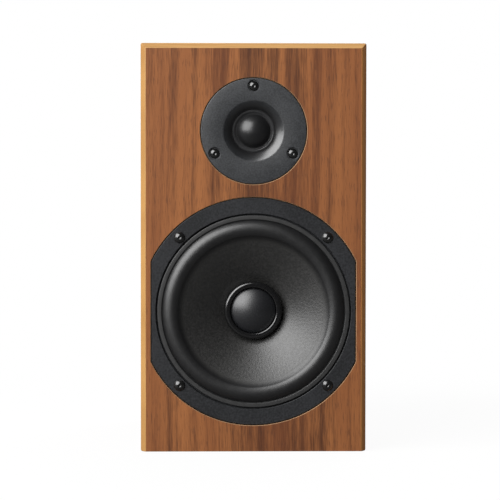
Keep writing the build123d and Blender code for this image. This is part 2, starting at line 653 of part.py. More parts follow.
def woofer_frame():
    """Cast frame: flange with two flats, legs, spider seat, base and the seat of the terminals."""
    flange = extrude(flange_outline(0), FLANGE_THICKNESS)
    flange = chamfer(flange.faces().sort_by(Axis.Z)[0].edges(), FLANGE_EASE)
    flange -= disc(MOUTH_RADIUS, 0, LIP_SEAT_DEPTH) + disc(BASKET_INNER, 0, FLANGE_THICKNESS)
    flange -= ring(LIP_OUTER, MOUTH_RADIUS, 0, MOUTH_GROOVE_DEPTH)
    eased = MOUTH_RADIUS + MOUTH_EASE
    flange -= turned(Polyline((0, 0), (eased, 0), (MOUTH_RADIUS, MOUTH_EASE), (0, MOUTH_EASE), close=True))
    shoulder = FLANGE_THICKNESS + SHOULDER_LENGTH
    base_front = MOTOR_DEPTH - BASE_THICKNESS
    base_hole = PLATE_HOLE + BASE_RELIEF
    basket = turned(
        Polyline(
            (BASKET_INNER, LIP_SEAT_DEPTH),
            (BASKET_RADIUS, LIP_SEAT_DEPTH),
            (BASKET_RADIUS, shoulder),
            (CUP_RADIUS, SPIDER_DEPTH),
            (CUP_RADIUS, MOTOR_DEPTH),
            (base_hole, MOTOR_DEPTH),
            (base_hole, base_front),
            (CUP_INNER, base_front),
            (CUP_INNER, SPIDER_SEAT_BACK),
            (SPIDER_RADIUS - SPIDER_LEDGE, SPIDER_SEAT_BACK),
            (SPIDER_RADIUS - SPIDER_LEDGE, SPIDER_DEPTH),
            (CUP_INNER, SPIDER_DEPTH),
            (BASKET_INNER, shoulder),
            close=True,
        )
    )
    upper = basket_windows(
        shoulder + WINDOW_MARGIN, SPIDER_DEPTH - WINDOW_MARGIN, SPIDER_RADIUS, FLANGE_RADIUS
    )
    lower = basket_windows(
        SPIDER_SEAT_BACK + WINDOW_MARGIN, base_front - WINDOW_MARGIN, CUP_INNER - BASKET_WALL, FLANGE_RADIUS
    )
    boss = block(
        (-STRIP_BOSS_WIDTH / 2, STRIP_BOSS_WIDTH / 2),
        (-STRIP_SEAT, -CUP_INNER),
        (base_front - STRIP_DEPTH, MOTOR_DEPTH),
    )
    frame = flange + basket - upper - lower + boss
    hole = disc(WOOFER_SCREW_RADIUS + HOLE_CLEARANCE, 0, FLANGE_THICKNESS)
    for place in WOOFER_SCREW_PLACES:
        frame -= place * hole
    return on_woofer(frame)


def woofer_gasket():
    """Foam ring between the flange and the floor of its rebate."""
    foam = extrude(flange_outline(-GASKET_INSET), WOOFER_GASKET_THICKNESS)
    foam -= disc(WOOFER_CUTOUT + GASKET_INSET, 0, WOOFER_GASKET_THICKNESS)
    for place in WOOFER_SCREW_PLACES:
        foam -= place * disc(WOOFER_SCREW_RADIUS + HOLE_CLEARANCE, 0, WOOFER_GASKET_THICKNESS)
    return on_woofer(Pos(0, 0, FLANGE_THICKNESS) * foam)


def roll_depth(radius, inset):
    """Depth of the surround's roll at a radius, on its front or so far behind it."""
    centre = FOOT_DEPTH - ROLL_RISE + ROLL_ARC
    return centre - sqrt((ROLL_ARC - inset) ** 2 - (radius - ROLL_CREST) ** 2)


def woofer_surround():
    """Rubber half roll with its outer lip on the frame and its inner lip on the cone."""
    inner = ROLL_INNER - INNER_LIP_WIDTH
    back_inner = ROLL_INNER + RUBBER_THICKNESS
    back_outer = ROLL_OUTER - RUBBER_THICKNESS
    edge = CONE_RADIUS + GLUE_GAP
    lip_back = cone_depth(inner) - SOFT_GAP
    crest, outer_foot, inner_foot = (
        (radius, roll_depth(radius, 0)) for radius in (ROLL_CREST, ROLL_OUTER, ROLL_INNER)
    )
    back_crest, back_outer_foot, back_inner_foot = (
        (radius, roll_depth(radius, RUBBER_THICKNESS)) for radius in (ROLL_CREST, back_outer, back_inner)
    )
    front = Polyline((LIP_OUTER, LIP_SEAT_DEPTH), (LIP_OUTER, LIP_FRONT), (LIP_INNER, LIP_FRONT), outer_foot)
    inner_lip = Polyline(
        inner_foot,
        (inner, lip_back - INNER_LIP_THICKNESS),
        (inner, lip_back),
        (edge, cone_depth(edge) - SOFT_GAP),
        back_inner_foot,
    )
    return on_woofer(
        turned(
            front,
            ThreePointArc(outer_foot, crest, inner_foot),
            inner_lip,
            ThreePointArc(back_inner_foot, back_crest, back_outer_foot),
            Polyline(back_outer_foot, (back_outer, LIP_SEAT_DEPTH), (LIP_OUTER, LIP_SEAT_DEPTH)),
        )
    )


def woofer_cone():
    """Slightly flared cone from the surround down to the voice-coil former."""
    back = CONE_THICKNESS / cos(radians(CONE_ANGLE))
    halfway = (CONE_RADIUS + NECK_RADIUS) / 2
    edge, middle, neck = ((radius, cone_depth(radius)) for radius in (CONE_RADIUS, halfway, NECK_RADIUS))
    back_edge, back_middle, back_neck = ((radius, depth + back) for radius, depth in (edge, middle, neck))
    return on_woofer(
        turned(
            ThreePointArc(edge, middle, neck),
            Line(neck, back_neck),
            ThreePointArc(back_neck, back_middle, back_edge),
            Line(back_edge, edge),
        )
    )


RING_FRONT = cone_depth(RING_OUTER) - RING_RISE
CAP_RIM = RING_FRONT + CAP_DROP


def woofer_cap_ring():
    """Rounded ring standing on the cone round the dust cap."""
    shoulder = RING_FRONT + RING_ROUND
    swing = RING_ROUND * (1 - sin(radians(45)))
    return on_woofer(
        turned(
            Polyline(
                (RING_INNER, shoulder),
                (RING_INNER, cone_depth(RING_INNER) - GLUE_GAP),
                (RING_OUTER, cone_depth(RING_OUTER) - GLUE_GAP),
                (RING_OUTER, shoulder),
            ),
            ThreePointArc(
                (RING_OUTER, shoulder),
                (RING_OUTER - swing, RING_FRONT + swing),
                (RING_OUTER - RING_ROUND, RING_FRONT),
            ),
            Line((RING_OUTER - RING_ROUND, RING_FRONT), (RING_INNER + RING_ROUND, RING_FRONT)),
            ThreePointArc(
                (RING_INNER + RING_ROUND, RING_FRONT),
                (RING_INNER + swing, RING_FRONT + swing),
                (RING_INNER, shoulder),
            ),
        )
    )


def woofer_dust_cap():
    """Round cap on a short skirt that stands on the cone's neck."""
    apex = CAP_RIM - CAP_RISE
    return on_woofer(
        turned(
            dome_arc(CAP_RADIUS, apex, CAP_RIM),
            Line((0, apex), (0, apex + CAP_THICKNESS)),
            dome_arc(CAP_SEAT, apex + CAP_THICKNESS, CAP_RIM),
            Polyline(
                (CAP_SEAT, CAP_RIM),
                (CAP_SEAT, cone_depth(CAP_SEAT) - GLUE_GAP),
                (CAP_RADIUS, cone_depth(CAP_RADIUS) - GLUE_GAP),
                (CAP_RADIUS, CAP_RIM),
            ),
        )
    )


def spider_edge(depth, inner, outer):
    """Corrugated line of the spider, as arcs to one side and the other in turn."""
    step = (outer - inner) / (2 * SPIDER_WAVES)
    arcs = []
    for index in range(2 * SPIDER_WAVES):
        start = inner + index * step
        swing = SPIDER_WAVE_HEIGHT / 2 * (1 if index % 2 else -1)
        arcs.append(ThreePointArc((start, depth), (start + step / 2, depth + swing), (start + step, depth)))
    return arcs


def woofer_spider():
    """Corrugated disc that centres the voice coil, glued to its seat in the frame."""
    inner = FORMER_OUTER + SOFT_GAP
    collar = inner + SPIDER_COLLAR
    ledge = SPIDER_RADIUS - SPIDER_LEDGE - SOFT_GAP
    front = SPIDER_DEPTH - SPIDER_THICKNESS
    return on_woofer(
        turned(
            *spider_edge(front, collar, ledge),
            Polyline(
                (ledge, front), (SPIDER_RADIUS, front), (SPIDER_RADIUS, SPIDER_DEPTH), (ledge, SPIDER_DEPTH)
            ),
            *spider_edge(SPIDER_DEPTH, collar, ledge),
            Polyline((collar, SPIDER_DEPTH), (inner, SPIDER_DEPTH), (inner, front), (collar, front)),
        )
    )


COIL_CENTRE = MOTOR_DEPTH + TOP_PLATE_THICKNESS / 2
COIL_BACK = COIL_CENTRE + WINDING_LENGTH / 2


def woofer_coil_former():
    """Thin tube that carries the winding and pushes the cone."""
    return on_woofer(ring(FORMER_RADIUS, FORMER_OUTER, NECK_DEPTH, COIL_BACK))


def woofer_coil_winding():
    """Voice-coil winding, longer than the gap that it works in."""
    return on_woofer(ring(FORMER_OUTER + GLUE_GAP, WINDING_OUTER, COIL_BACK - WINDING_LENGTH, COIL_BACK))


def woofer_top_plate():
    """Steel ring in front of the magnet."""
    return on_woofer(ring(PLATE_HOLE, TOP_PLATE_RADIUS, MOTOR_DEPTH, MAGNET_DEPTH))


def woofer_magnet():
    """Ferrite ring."""
    return on_woofer(ring(PLATE_HOLE + MAGNET_GAP, MAGNET_RADIUS, MAGNET_DEPTH, YOKE_DEPTH))


def woofer_yoke():
    """Back plate with the vented pole inside the coil."""
    back = YOKE_DEPTH + YOKE_THICKNESS
    pole = disc(POLE_RADIUS, MOTOR_DEPTH, YOKE_DEPTH)
    return on_woofer(disc(TOP_PLATE_RADIUS, YOKE_DEPTH, back) + pole - disc(VENT_RADIUS, MOTOR_DEPTH, back))


def woofer_terminal_strip():
    """Insulating strip on the boss at the top of the frame."""
    half = STRIP_WIDTH / 2
    across = (-STRIP_SEAT - STRIP_THICKNESS, -STRIP_SEAT)
    return on_woofer(block((-half, half), across, (STRIP_FRONT, STRIP_FRONT + STRIP_DEPTH)))


def woofer_lugs():
    """Two blades standing on the terminal strip."""
    foot = STRIP_SEAT + STRIP_THICKNESS
    middle = STRIP_FRONT + STRIP_DEPTH / 2
    blades = []
    for side in (-1, 1):
        x = side * WOOFER_LUG_SPACING / 2
        blade = block(
            (x - LUG_WIDTH / 2, x + LUG_WIDTH / 2),
            (-foot - LUG_LENGTH, -foot),
            (middle - LUG_THICKNESS / 2, middle + LUG_THICKNESS / 2),
        )
        blades.append(on_woofer(blade))
    return Compound(blades)


def woofer_tinsel_leads():
    """Two limp braids from the terminal strip through a window to the back of the cone."""
    back = CONE_THICKNESS / cos(radians(CONE_ANGLE))
    reach = TINSEL_JOIN_RADIUS + TINSEL_RADIUS
    join_depth = cone_depth(TINSEL_JOIN_RADIUS) + back + SOFT_GAP
    start_y = -STRIP_SEAT - STRIP_THICKNESS / 2
    braids = []
    for side in (-1, 1):
        x = side * WOOFER_LUG_SPACING / 2
        end_y = -sqrt(reach**2 - x**2)
        points = [
            (x, start_y, STRIP_FRONT),
            (x, start_y, STRIP_FRONT - 6),
            (x, start_y + 6, STRIP_FRONT - 13),
            (x, end_y - 4, join_depth + 8),
            (x, end_y, join_depth),
        ]
        braids.append(on_woofer(lead(points, TINSEL_RADIUS)))
    return Compound(braids)


def woofer_screws():
    """Four domed screws through the flange."""
    screw = domed_screw(
        WOOFER_HEAD_RADIUS, WOOFER_HEAD_HEIGHT, WOOFER_SCREW_RADIUS, WOOFER_REBATE + WOOFER_SCREW_BITE
    )
    return Compound([on_woofer(place * screw) for place in WOOFER_SCREW_PLACES])


# Tweeter


def tweeter_faceplate():
    """Round plate with a flared dish, a throat and a collar that clamps the dome's surround."""
    drop = DISH_DEPTH - PLATE_DIP
    chord = sqrt(DISH_WIDTH**2 + drop**2)
    flare_radius = THROAT_RADIUS + DISH_WIDTH / 2 - DISH_BULGE * drop / chord
    flare_depth = PLATE_DIP + drop / 2 - DISH_BULGE * DISH_WIDTH / chord
    plate = turned(
        Polyline(
            (DIP_RADIUS, 0),
            (PLATE_RADIUS - PLATE_EASE, 0),
            (PLATE_RADIUS, PLATE_EASE),
            (PLATE_RADIUS, PLATE_THICKNESS),
            (COLLAR_RADIUS, PLATE_THICKNESS),
            (COLLAR_RADIUS, DOME_PLATE_DEPTH),
            (COLLAR_INNER, DOME_PLATE_DEPTH),
            (COLLAR_INNER, CLAMP_DEPTH),
            (THROAT_RADIUS, CLAMP_DEPTH),
            (THROAT_RADIUS, DISH_DEPTH),
        ),
        ThreePointArc((THROAT_RADIUS, DISH_DEPTH), (flare_radius, flare_depth), (DISH_RADIUS, PLATE_DIP)),
        ThreePointArc(
            (DISH_RADIUS, PLATE_DIP), (DISH_RADIUS + DIP_WIDTH / 2, PLATE_DIP / 4), (DIP_RADIUS, 0)
        ),
    )
    hole = disc(TWEETER_SCREW_RADIUS + HOLE_CLEARANCE, 0, PLATE_THICKNESS)
    hole += disc(TWEETER_HEAD_RADIUS + COUNTERBORE_GAP, 0, COUNTERBORE_DEPTH)
    for place in TWEETER_SCREW_PLACES:
        plate -= place * hole
    return on_tweeter(plate)


def tweeter_gasket():
    """Foam ring between the faceplate and the floor of its rebate."""
    foam = ring(
        TWEETER_CUTOUT + GASKET_INSET, PLATE_RADIUS - GASKET_INSET, PLATE_THICKNESS, TWEETER_REBATE
    )
    for place in TWEETER_SCREW_PLACES:
        foam -= place * disc(TWEETER_SCREW_RADIUS + HOLE_CLEARANCE, PLATE_THICKNESS, TWEETER_REBATE)
    return on_tweeter(foam)


def tweeter_dome():
    """Soft dome with a short skirt round the voice-coil former."""
    apex = DOME_FOOT - DOME_RISE
    inner = DOME_RADIUS - DOME_THICKNESS
    rim = DOME_FOOT - DOME_THICKNESS
    return on_tweeter(
        turned(
            dome_arc(DOME_RADIUS, apex, rim),
            Line((0, apex), (0, apex + DOME_THICKNESS)),
            dome_arc(inner, apex + DOME_THICKNESS, rim),
            Polyline((inner, rim), (inner, DOME_FOOT), (DOME_RADIUS, DOME_FOOT), (DOME_RADIUS, rim)),
        )
    )


def tweeter_surround():
    """Small half roll round the dome, with the lip that the faceplate clamps."""
    middle = (DOME_ROLL_INNER + DOME_ROLL_OUTER) / 2
    crest = DOME_FOOT - DOME_ROLL_RISE
    back_inner = DOME_ROLL_INNER + DOME_ROLL_THICKNESS
    back_outer = DOME_ROLL_OUTER - DOME_ROLL_THICKNESS
    return on_tweeter(
        turned(
            Line((DOME_ROLL_INNER, DOME_FOOT), (back_inner, DOME_FOOT)),
            ThreePointArc(
                (back_inner, DOME_FOOT), (middle, crest + DOME_ROLL_THICKNESS), (back_outer, DOME_FOOT)
            ),
            Polyline(
                (back_outer, DOME_FOOT),
                (back_outer, DOME_PLATE_DEPTH),
                (CLAMP_RADIUS, DOME_PLATE_DEPTH),
                (CLAMP_RADIUS, CLAMP_DEPTH),
                (THROAT_RADIUS, CLAMP_DEPTH),
                (DOME_ROLL_OUTER, DOME_FOOT),
            ),
            ThreePointArc((DOME_ROLL_OUTER, DOME_FOOT), (middle, crest), (DOME_ROLL_INNER, DOME_FOOT)),
        )
    )


def tweeter_coil_former():
    """Thin tube inside the dome's skirt."""
    inner = DOME_FORMER_OUTER - DOME_FORMER_THICKNESS
    start = DOME_FOOT - DOME_THICKNESS
    return on_tweeter(ring(inner, DOME_FORMER_OUTER, start, start + DOME_FORMER_LENGTH))


def tweeter_coil_winding():
    """Winding in the middle of the tweeter's gap."""
    start = DOME_PLATE_DEPTH + (DOME_PLATE_THICKNESS - DOME_WINDING_LENGTH) / 2
    return on_tweeter(
        ring(DOME_FORMER_OUTER + GLUE_GAP, DOME_WINDING_OUTER, start, start + DOME_WINDING_LENGTH)
    )


def tweeter_top_plate():
    """Steel ring behind the faceplate's collar."""
    return on_tweeter(ring(DOME_PLATE_HOLE, COLLAR_RADIUS, DOME_PLATE_DEPTH, DOME_MAGNET_DEPTH))


def tweeter_magnet():
    """Ferrite ring of the tweeter."""
    return on_tweeter(
        ring(DOME_PLATE_HOLE + DOME_MAGNET_GAP, DOME_MAGNET_RADIUS, DOME_MAGNET_DEPTH, DOME_YOKE_DEPTH)
    )


def tweeter_yoke():
    """Back plate with the solid pole inside the tweeter's coil."""
    plate = disc(COLLAR_RADIUS, DOME_YOKE_DEPTH, DOME_STRIP_DEPTH)
    return on_tweeter(plate + disc(DOME_POLE_RADIUS, DOME_PLATE_DEPTH, DOME_YOKE_DEPTH))


def tweeter_terminal_strip():
    """Insulating strip on the back of the yoke."""
    across = (-TWEETER_STRIP_WIDTH / 2, TWEETER_STRIP_WIDTH / 2)
    tall = (-STRIP_DEPTH / 2, STRIP_DEPTH / 2)
    return on_tweeter(block(across, tall, (DOME_STRIP_DEPTH, DOME_STRIP_DEPTH + STRIP_THICKNESS)))


def tweeter_lugs():
    """Two blades pointing back from the tweeter's strip."""
    start = DOME_STRIP_DEPTH + STRIP_THICKNESS
    blades = []
    for side in (-1, 1):
        x = side * TWEETER_LUG_SPACING / 2
        across = (x - LUG_WIDTH / 2, x + LUG_WIDTH / 2)
        tall = (-LUG_THICKNESS / 2, LUG_THICKNESS / 2)
        blades.append(on_tweeter(block(across, tall, (start, start + LUG_LENGTH))))
    return Compound(blades)


def tweeter_screws():
    """Three domed screws in the faceplate's counterbores."""
    length = TWEETER_REBATE - COUNTERBORE_DEPTH + TWEETER_SCREW_BITE
    screw = domed_screw(TWEETER_HEAD_RADIUS, TWEETER_HEAD_HEIGHT, TWEETER_SCREW_RADIUS, length)
    seat = Pos(0, 0, COUNTERBORE_DEPTH)
    return Compound([on_tweeter(place * seat * screw) for place in TWEETER_SCREW_PLACES])


# Back


def port_tube():
    """Reflex tube with a flared mouth and a rim that sits on the rear panel."""
    trim = REAR_TRIM_THICKNESS
    tube = PORT_BORE_RADIUS + PORT_WALL
    flare_start = trim - PORT_FLARE
    swing = PORT_FLARE * sin(radians(45))
    shape = turned(
        Line((PORT_BORE_RADIUS, -PORT_LENGTH), (PORT_BORE_RADIUS, flare_start)),
        ThreePointArc(
            (PORT_BORE_RADIUS, flare_start),
            (PORT_FLARE_RADIUS - swing, flare_start + swing),
            (PORT_FLARE_RADIUS, trim),
        ),
        Polyline(
            (PORT_FLARE_RADIUS, trim),
            (PORT_FLARE_RADIUS + PORT_RIM, trim),
            (PORT_FLARE_RADIUS + PORT_RIM, 0),
            (PORT_NECK, 0),
            (PORT_NECK, flare_start),
            (tube, flare_start - PORT_NECK + tube),
            (tube, -PORT_LENGTH),
            (PORT_BORE_RADIUS, -PORT_LENGTH),
        ),
    )
    return facing_back(0, CABINET_DEPTH, PORT_HEIGHT) * shape


def cup_screw(clearance):
    """Countersunk screw of the terminal cup, or its hole with a clearance, pointing into the cabinet."""
    head, shank = CUP_HEAD_RADIUS + clearance, CUP_SCREW_RADIUS + clearance
    top = REAR_TRIM_THICKNESS
    return turned(
        Polyline(
            (0, top),
            (head, top),
            (shank, top - CUP_HEAD_HEIGHT),
            (shank, -CUP_SCREW_BITE),
            (0, -CUP_SCREW_BITE),
            close=True,
        )
    )


def terminal_cup():
    """Moulded cup let into the rear panel, with a rim on its outside."""
    trim = REAR_TRIM_THICKNESS
    rim_width, rim_height = CUP_WIDTH + 2 * CUP_FLANGE, CUP_HEIGHT + 2 * CUP_FLANGE
    cup = extrude(RectangleRounded(rim_width, rim_height, CUP_CORNER), trim)
    cup += Pos(0, 0, trim - CUP_DEPTH - CUP_FLOOR) * extrude(cup_body(0), CUP_DEPTH + CUP_FLOOR - trim)
    recess = extrude(RectangleRounded(CUP_WIDTH, CUP_HEIGHT, CUP_CORNER), CUP_DEPTH)
    cup -= Pos(0, 0, trim - CUP_DEPTH) * recess
    for place in CUP_SCREW_PLACES:
        cup -= place * cup_screw(PILOT_CLEARANCE)
    cup = on_cup(cup)
    for side in (-1, 1):
        cup -= on_post(disc(BUSH_NECK_RADIUS + GLUE_GAP, -CUP_FLOOR, 0), side)
    return cup


def terminal_screws():
    """Four countersunk screws of the terminal cup, with crossed slots."""
    slot = Box(CROSS_LENGTH, CROSS_WIDTH, 2 * CROSS_DEPTH)
    screw = cup_screw(0)
    for turn in (0, 90):
        screw -= Pos(0, 0, REAR_TRIM_THICKNESS) * Rot(0, 0, turn) * slot
    return Compound([on_cup(place * screw) for place in CUP_SCREW_PLACES])


def post_studs():
    """Two plated studs, each with a collar, a plug bore and a cross hole for bare wire."""
    nut_back = NUT_FRONT + NUT_THICKNESS
    stud = disc(STUD_RADIUS, -nut_back - STUD_TAIL, STUD_TIP)
    stud += disc(STUD_COLLAR_RADIUS, BUSH_RIM, COLLAR_TOP)
    stud -= disc(PLUG_BORE_RADIUS, STUD_TIP - PLUG_BORE_DEPTH, STUD_TIP)
    wire_hole = Rot(90, 0, 0) * Cylinder(WIRE_HOLE_RADIUS, 3 * STUD_RADIUS)
    stud -= Pos(0, 0, COLLAR_TOP + WIRE_HOLE_OFFSET) * wire_hole
    return Compound([on_post(stud, side) for side in (-1, 1)])


def post_bush(side):
    """Coloured insulating bush in the cup's floor."""
    bush = disc(BUSH_RADIUS, 0, BUSH_RIM) + disc(BUSH_NECK_RADIUS, -CUP_FLOOR, 0)
    return on_post(bush - disc(STUD_RADIUS + GLUE_GAP, -CUP_FLOOR, BUSH_RIM), side)


def post_washer(side):
    """Clamp washer between the stud's collar and the knob."""
    return on_post(ring(STUD_RADIUS + HOLE_CLEARANCE, WASHER_RADIUS, COLLAR_TOP, KNOB_START), side)


def post_knob(side):
    """Fluted knob screwed on the stud, open at its end for a plug."""
    knob = disc(KNOB_RADIUS, KNOB_START, KNOB_END)
    flute = disc(FLUTE_RADIUS, KNOB_START + KNOB_BASE, KNOB_END)
    for place in around(FLUTE_COUNT, KNOB_RADIUS + FLUTE_RADIUS - FLUTE_DEPTH, 0):
        knob -= place * flute
    knob -= disc(STUD_RADIUS + THREAD_CLEARANCE, KNOB_START, KNOB_END - KNOB_END_WALL)
    return on_post(knob - disc(KNOB_HOLE_RADIUS, KNOB_START, KNOB_END), side)


def post_tags():
    """Solder tags under the nuts, with their tails pointing down."""
    tail = block((-TAG_WIDTH / 2, TAG_WIDTH / 2), (0, TAG_LENGTH), (-NUT_FRONT, -CUP_FLOOR))
    tag = disc(TAG_RADIUS, -NUT_FRONT, -CUP_FLOOR) + tail
    tag -= disc(STUD_RADIUS + GLUE_GAP, -NUT_FRONT, -CUP_FLOOR)
    return Compound([on_post(tag, side) for side in (-1, 1)])


def post_nuts():
    """Hexagon nuts that hold the studs, inside the cabinet."""
    hexagon = RegularPolygon(NUT_FLATS / 2, 6, major_radius=False) - Circle(STUD_RADIUS + GLUE_GAP)
    nut = Pos(0, 0, -NUT_FRONT) * extrude(hexagon, -NUT_THICKNESS)
    return Compound([on_post(nut, side) for side in (-1, 1)])


# Crossover


def crossover_board():
    """Plain circuit board on four standoffs."""
    low = WALL_THICKNESS + STANDOFF_HEIGHT
    board = block(
        (-BOARD_WIDTH / 2, BOARD_WIDTH / 2), (BOARD_REAR - BOARD_DEPTH, BOARD_REAR), (low, BOARD_TOP)
    )
    for place in STANDOFF_PLACES:
        board -= place * disc(BOARD_SCREW_RADIUS + HOLE_CLEARANCE, low, BOARD_TOP)
    return board


def crossover_standoffs():
    """Spacers between the bottom panel and the board."""
    spacer = ring(
        BOARD_SCREW_RADIUS + HOLE_CLEARANCE, STANDOFF_RADIUS, WALL_THICKNESS, WALL_THICKNESS + STANDOFF_HEIGHT
    )
    return Compound([place * spacer for place in STANDOFF_PLACES])


def crossover_screws():
    """Screws through the board and its standoffs into the bottom panel."""
    screw = disc(BOARD_SCREW_RADIUS, WALL_THICKNESS - BOARD_SCREW_BITE, BOARD_TOP)
    screw += disc(BOARD_HEAD_RADIUS, BOARD_TOP, BOARD_TOP + BOARD_HEAD_HEIGHT)
    return Compound([place * screw for place in STANDOFF_PLACES])


def inductor_bobbins():
    """Flanged bobbins of the two inductors, standing on the board."""
    bobbins = []
    for x, y, radius, core, height in INDUCTORS:
        bobbin = disc(core, 0, height)
        bobbin += disc(radius, 0, BOBBIN_FLANGE) + disc(radius, height - BOBBIN_FLANGE, height)
        bobbins.append(Pos(x, y, BOARD_TOP) * bobbin)
    return Compound(bobbins)


def inductor_windings():
    """Copper windings, one on each bobbin."""
    windings = []
    for x, y, radius, core, height in INDUCTORS:
        winding = ring(core + GLUE_GAP, radius - WINDING_INSET, BOBBIN_FLANGE, height - BOBBIN_FLANGE)
        windings.append(Pos(x, y, BOARD_TOP) * winding)
    return Compound(windings)


def crossover_capacitors():
    """Film capacitors lying along X on the board."""
    return Compound(
        [
            Pos(x, y, BOARD_TOP + radius + GLUE_GAP) * Rot(0, 90, 0) * Cylinder(radius, length)
            for x, y, radius, length in CAPACITORS
        ]
    )


def crossover_resistors():
    """Square cement resistors lying side by side along the rear of the board."""
    resistors = []
    for index in range(RESISTOR_COUNT):
        rear = COMPONENT_REAR - index * (RESISTOR_WIDTH + COMPONENT_GAP)
        resistors.append(
            block(
                (-COLUMN_EDGE, RESISTOR_LENGTH - COLUMN_EDGE),
                (rear - RESISTOR_WIDTH, rear),
                (BOARD_TOP, BOARD_TOP + RESISTOR_WIDTH),
            )
        )
    return Compound(resistors)


# Leads inside the cabinet


def input_leads():
    """Leads from the solder tags down to the crossover."""
    tag_y = FRONT_Y + FLOOR_DEPTH - NUT_FRONT - LEAD_RADIUS - GLUE_GAP
    start = TERMINAL_HEIGHT - TAG_LENGTH + SOLDER_LAP
    pad_y = BOARD_REAR - INPUT_PAD_INSET
    drop = (start - BOARD_TOP) / 3
    leads = []
    for side in (-1, 1):
        x = side * POST_SPACING / 2
        points = [
            (x, tag_y, start),
            (x, tag_y, start - drop),
            (x, pad_y, BOARD_TOP + drop),
            (x, pad_y, BOARD_TOP),
        ]
        leads.append(lead(points, LEAD_RADIUS))
    return Compound(leads)


def woofer_leads():
    """Leads from the crossover up behind the magnet and over to the woofer's lugs."""
    pad_y = BOARD_REAR - BOARD_DEPTH + OUTPUT_PAD_INSET
    lug_y = FRONT_Y + STRIP_FRONT + STRIP_DEPTH / 2
    lug_top = WOOFER_HEIGHT + STRIP_SEAT + STRIP_THICKNESS + LUG_LENGTH
    leads = []
    for side in (-1, 1):
        x = side * WOOFER_LUG_SPACING / 2
        points = [
            (x, pad_y, BOARD_TOP),
            (x, pad_y, BOARD_TOP + 32),
            (x, pad_y - 6, BOARD_TOP + 84),
            (x, pad_y - 22, lug_top - 16),
            (x, lug_y + 34, lug_top + 16),
            (x, lug_y + 10, lug_top + 22),
            (x, lug_y, lug_top + 12),
            (x, lug_y, lug_top),
        ]
        leads.append(lead(points, LEAD_RADIUS))
    return Compound(leads)


def tweeter_leads():
    """Leads from the crossover up in front of the port and over to the tweeter's lugs."""
    pad_y = BOARD_REAR - BOARD_DEPTH + OUTPUT_PAD_INSET
    lug_y = FRONT_Y + DOME_STRIP_DEPTH + STRIP_THICKNESS + LUG_LENGTH
    leads = []
    for side in (-1, 1):
        x = side * TWEETER_LUG_SPACING / 2
        points = [
            (x, pad_y, BOARD_TOP),
            (x, pad_y, BOARD_TOP + 40),
            (x, pad_y - 4, BOARD_TOP + 95),
            (x, pad_y - 12, TWEETER_HEIGHT - 75),
            (x, pad_y - 34, TWEETER_HEIGHT - 26),
            (x, lug_y + 26, TWEETER_HEIGHT),
            (x, lug_y, TWEETER_HEIGHT),
        ]
        leads.append(lead(points, LEAD_RADIUS))
    return Compound(leads)


PARTS = {
    "front_baffle": front_baffle(),
    "left_side_panel": left_side_panel(),
    "right_side_panel": mirror(left_side_panel(), Plane.YZ),
    "top_panel": top_panel(),
    "bottom_panel": bottom_panel(),
    "rear_panel": rear_panel(),
    "left_edging": left_edging(),
    "top_edging": top_edging(),
    "right_edging": mirror(left_edging(), Plane.YZ),
    "damping_sheets": damping_sheets(),
    "woofer_frame": woofer_frame(),
    "woofer_gasket": woofer_gasket(),
    "woofer_surround": woofer_surround(),
    "woofer_cone": woofer_cone(),
    "woofer_cap_ring": woofer_cap_ring(),
    "woofer_dust_cap": woofer_dust_cap(),
    "woofer_spider": woofer_spider(),
    "woofer_coil_former": woofer_coil_former(),
    "woofer_coil_winding": woofer_coil_winding(),
    "woofer_top_plate": woofer_top_plate(),
    "woofer_magnet": woofer_magnet(),
    "woofer_yoke": woofer_yoke(),
    "woofer_terminal_strip": woofer_terminal_strip(),
    "woofer_lugs": woofer_lugs(),
    "woofer_tinsel_leads": woofer_tinsel_leads(),
    "woofer_screws": woofer_screws(),
    "tweeter_faceplate": tweeter_faceplate(),
    "tweeter_gasket": tweeter_gasket(),
    "tweeter_dome": tweeter_dome(),
    "tweeter_surround": tweeter_surround(),
    "tweeter_coil_former": tweeter_coil_former(),
    "tweeter_coil_winding": tweeter_coil_winding(),
    "tweeter_top_plate": tweeter_top_plate(),
    "tweeter_magnet": tweeter_magnet(),
    "tweeter_yoke": tweeter_yoke(),
    "tweeter_terminal_strip": tweeter_terminal_strip(),
    "tweeter_lugs": tweeter_lugs(),
    "tweeter_screws": tweeter_screws(),
    "port_tube": port_tube(),
    "terminal_cup": terminal_cup(),
    "terminal_screws": terminal_screws(),
    "post_studs": post_studs(),
    "red_post_bush": post_bush(1),
    "black_post_bush": post_bush(-1),
    "red_post_washer": post_washer(1),
    "black_post_washer": post_washer(-1),
    "red_post_knob": post_knob(1),
    "black_post_knob": post_knob(-1),
    "post_tags": post_tags(),
    "post_nuts": post_nuts(),
    "crossover_board": crossover_board(),
    "crossover_standoffs": crossover_standoffs(),
    "crossover_screws": crossover_screws(),
    "inductor_bobbins": inductor_bobbins(),
    "inductor_windings": inductor_windings(),
    "crossover_capacitors": crossover_capacitors(),
    "crossover_resistors": crossover_resistors(),
    "input_leads": input_leads(),
    "woofer_leads": woofer_leads(),
    "tweeter_leads": tweeter_leads(),
}

os.makedirs("parts", exist_ok=True)
for name, shape in PARTS.items():
    export_step(shape, f"parts/{name}.step")
print(f"cabinet {CABINET_WIDTH:.1f} x {CABINET_DEPTH:.1f} x {CABINET_HEIGHT:.1f} mm, {len(PARTS)} parts")
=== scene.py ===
# %% [markdown]
# # Dressing a two-way bookshelf speaker
#
# The solids are modelled and packed already: every board, driver and screw is a node of its own, in
# metres, where it sits on the real speaker. This lesson gives them their looks. A solid whose shape
# is right keeps its mesh and gets a finish. One that shows, and whose edges, rolls or flutes need
# more care, is built again here on the same place and rides on the same body.

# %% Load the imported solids
import json
from math import atan2, cos, pi, radians, sin, tan

import bmesh
import bpy
import numpy as np
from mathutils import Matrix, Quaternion, Vector


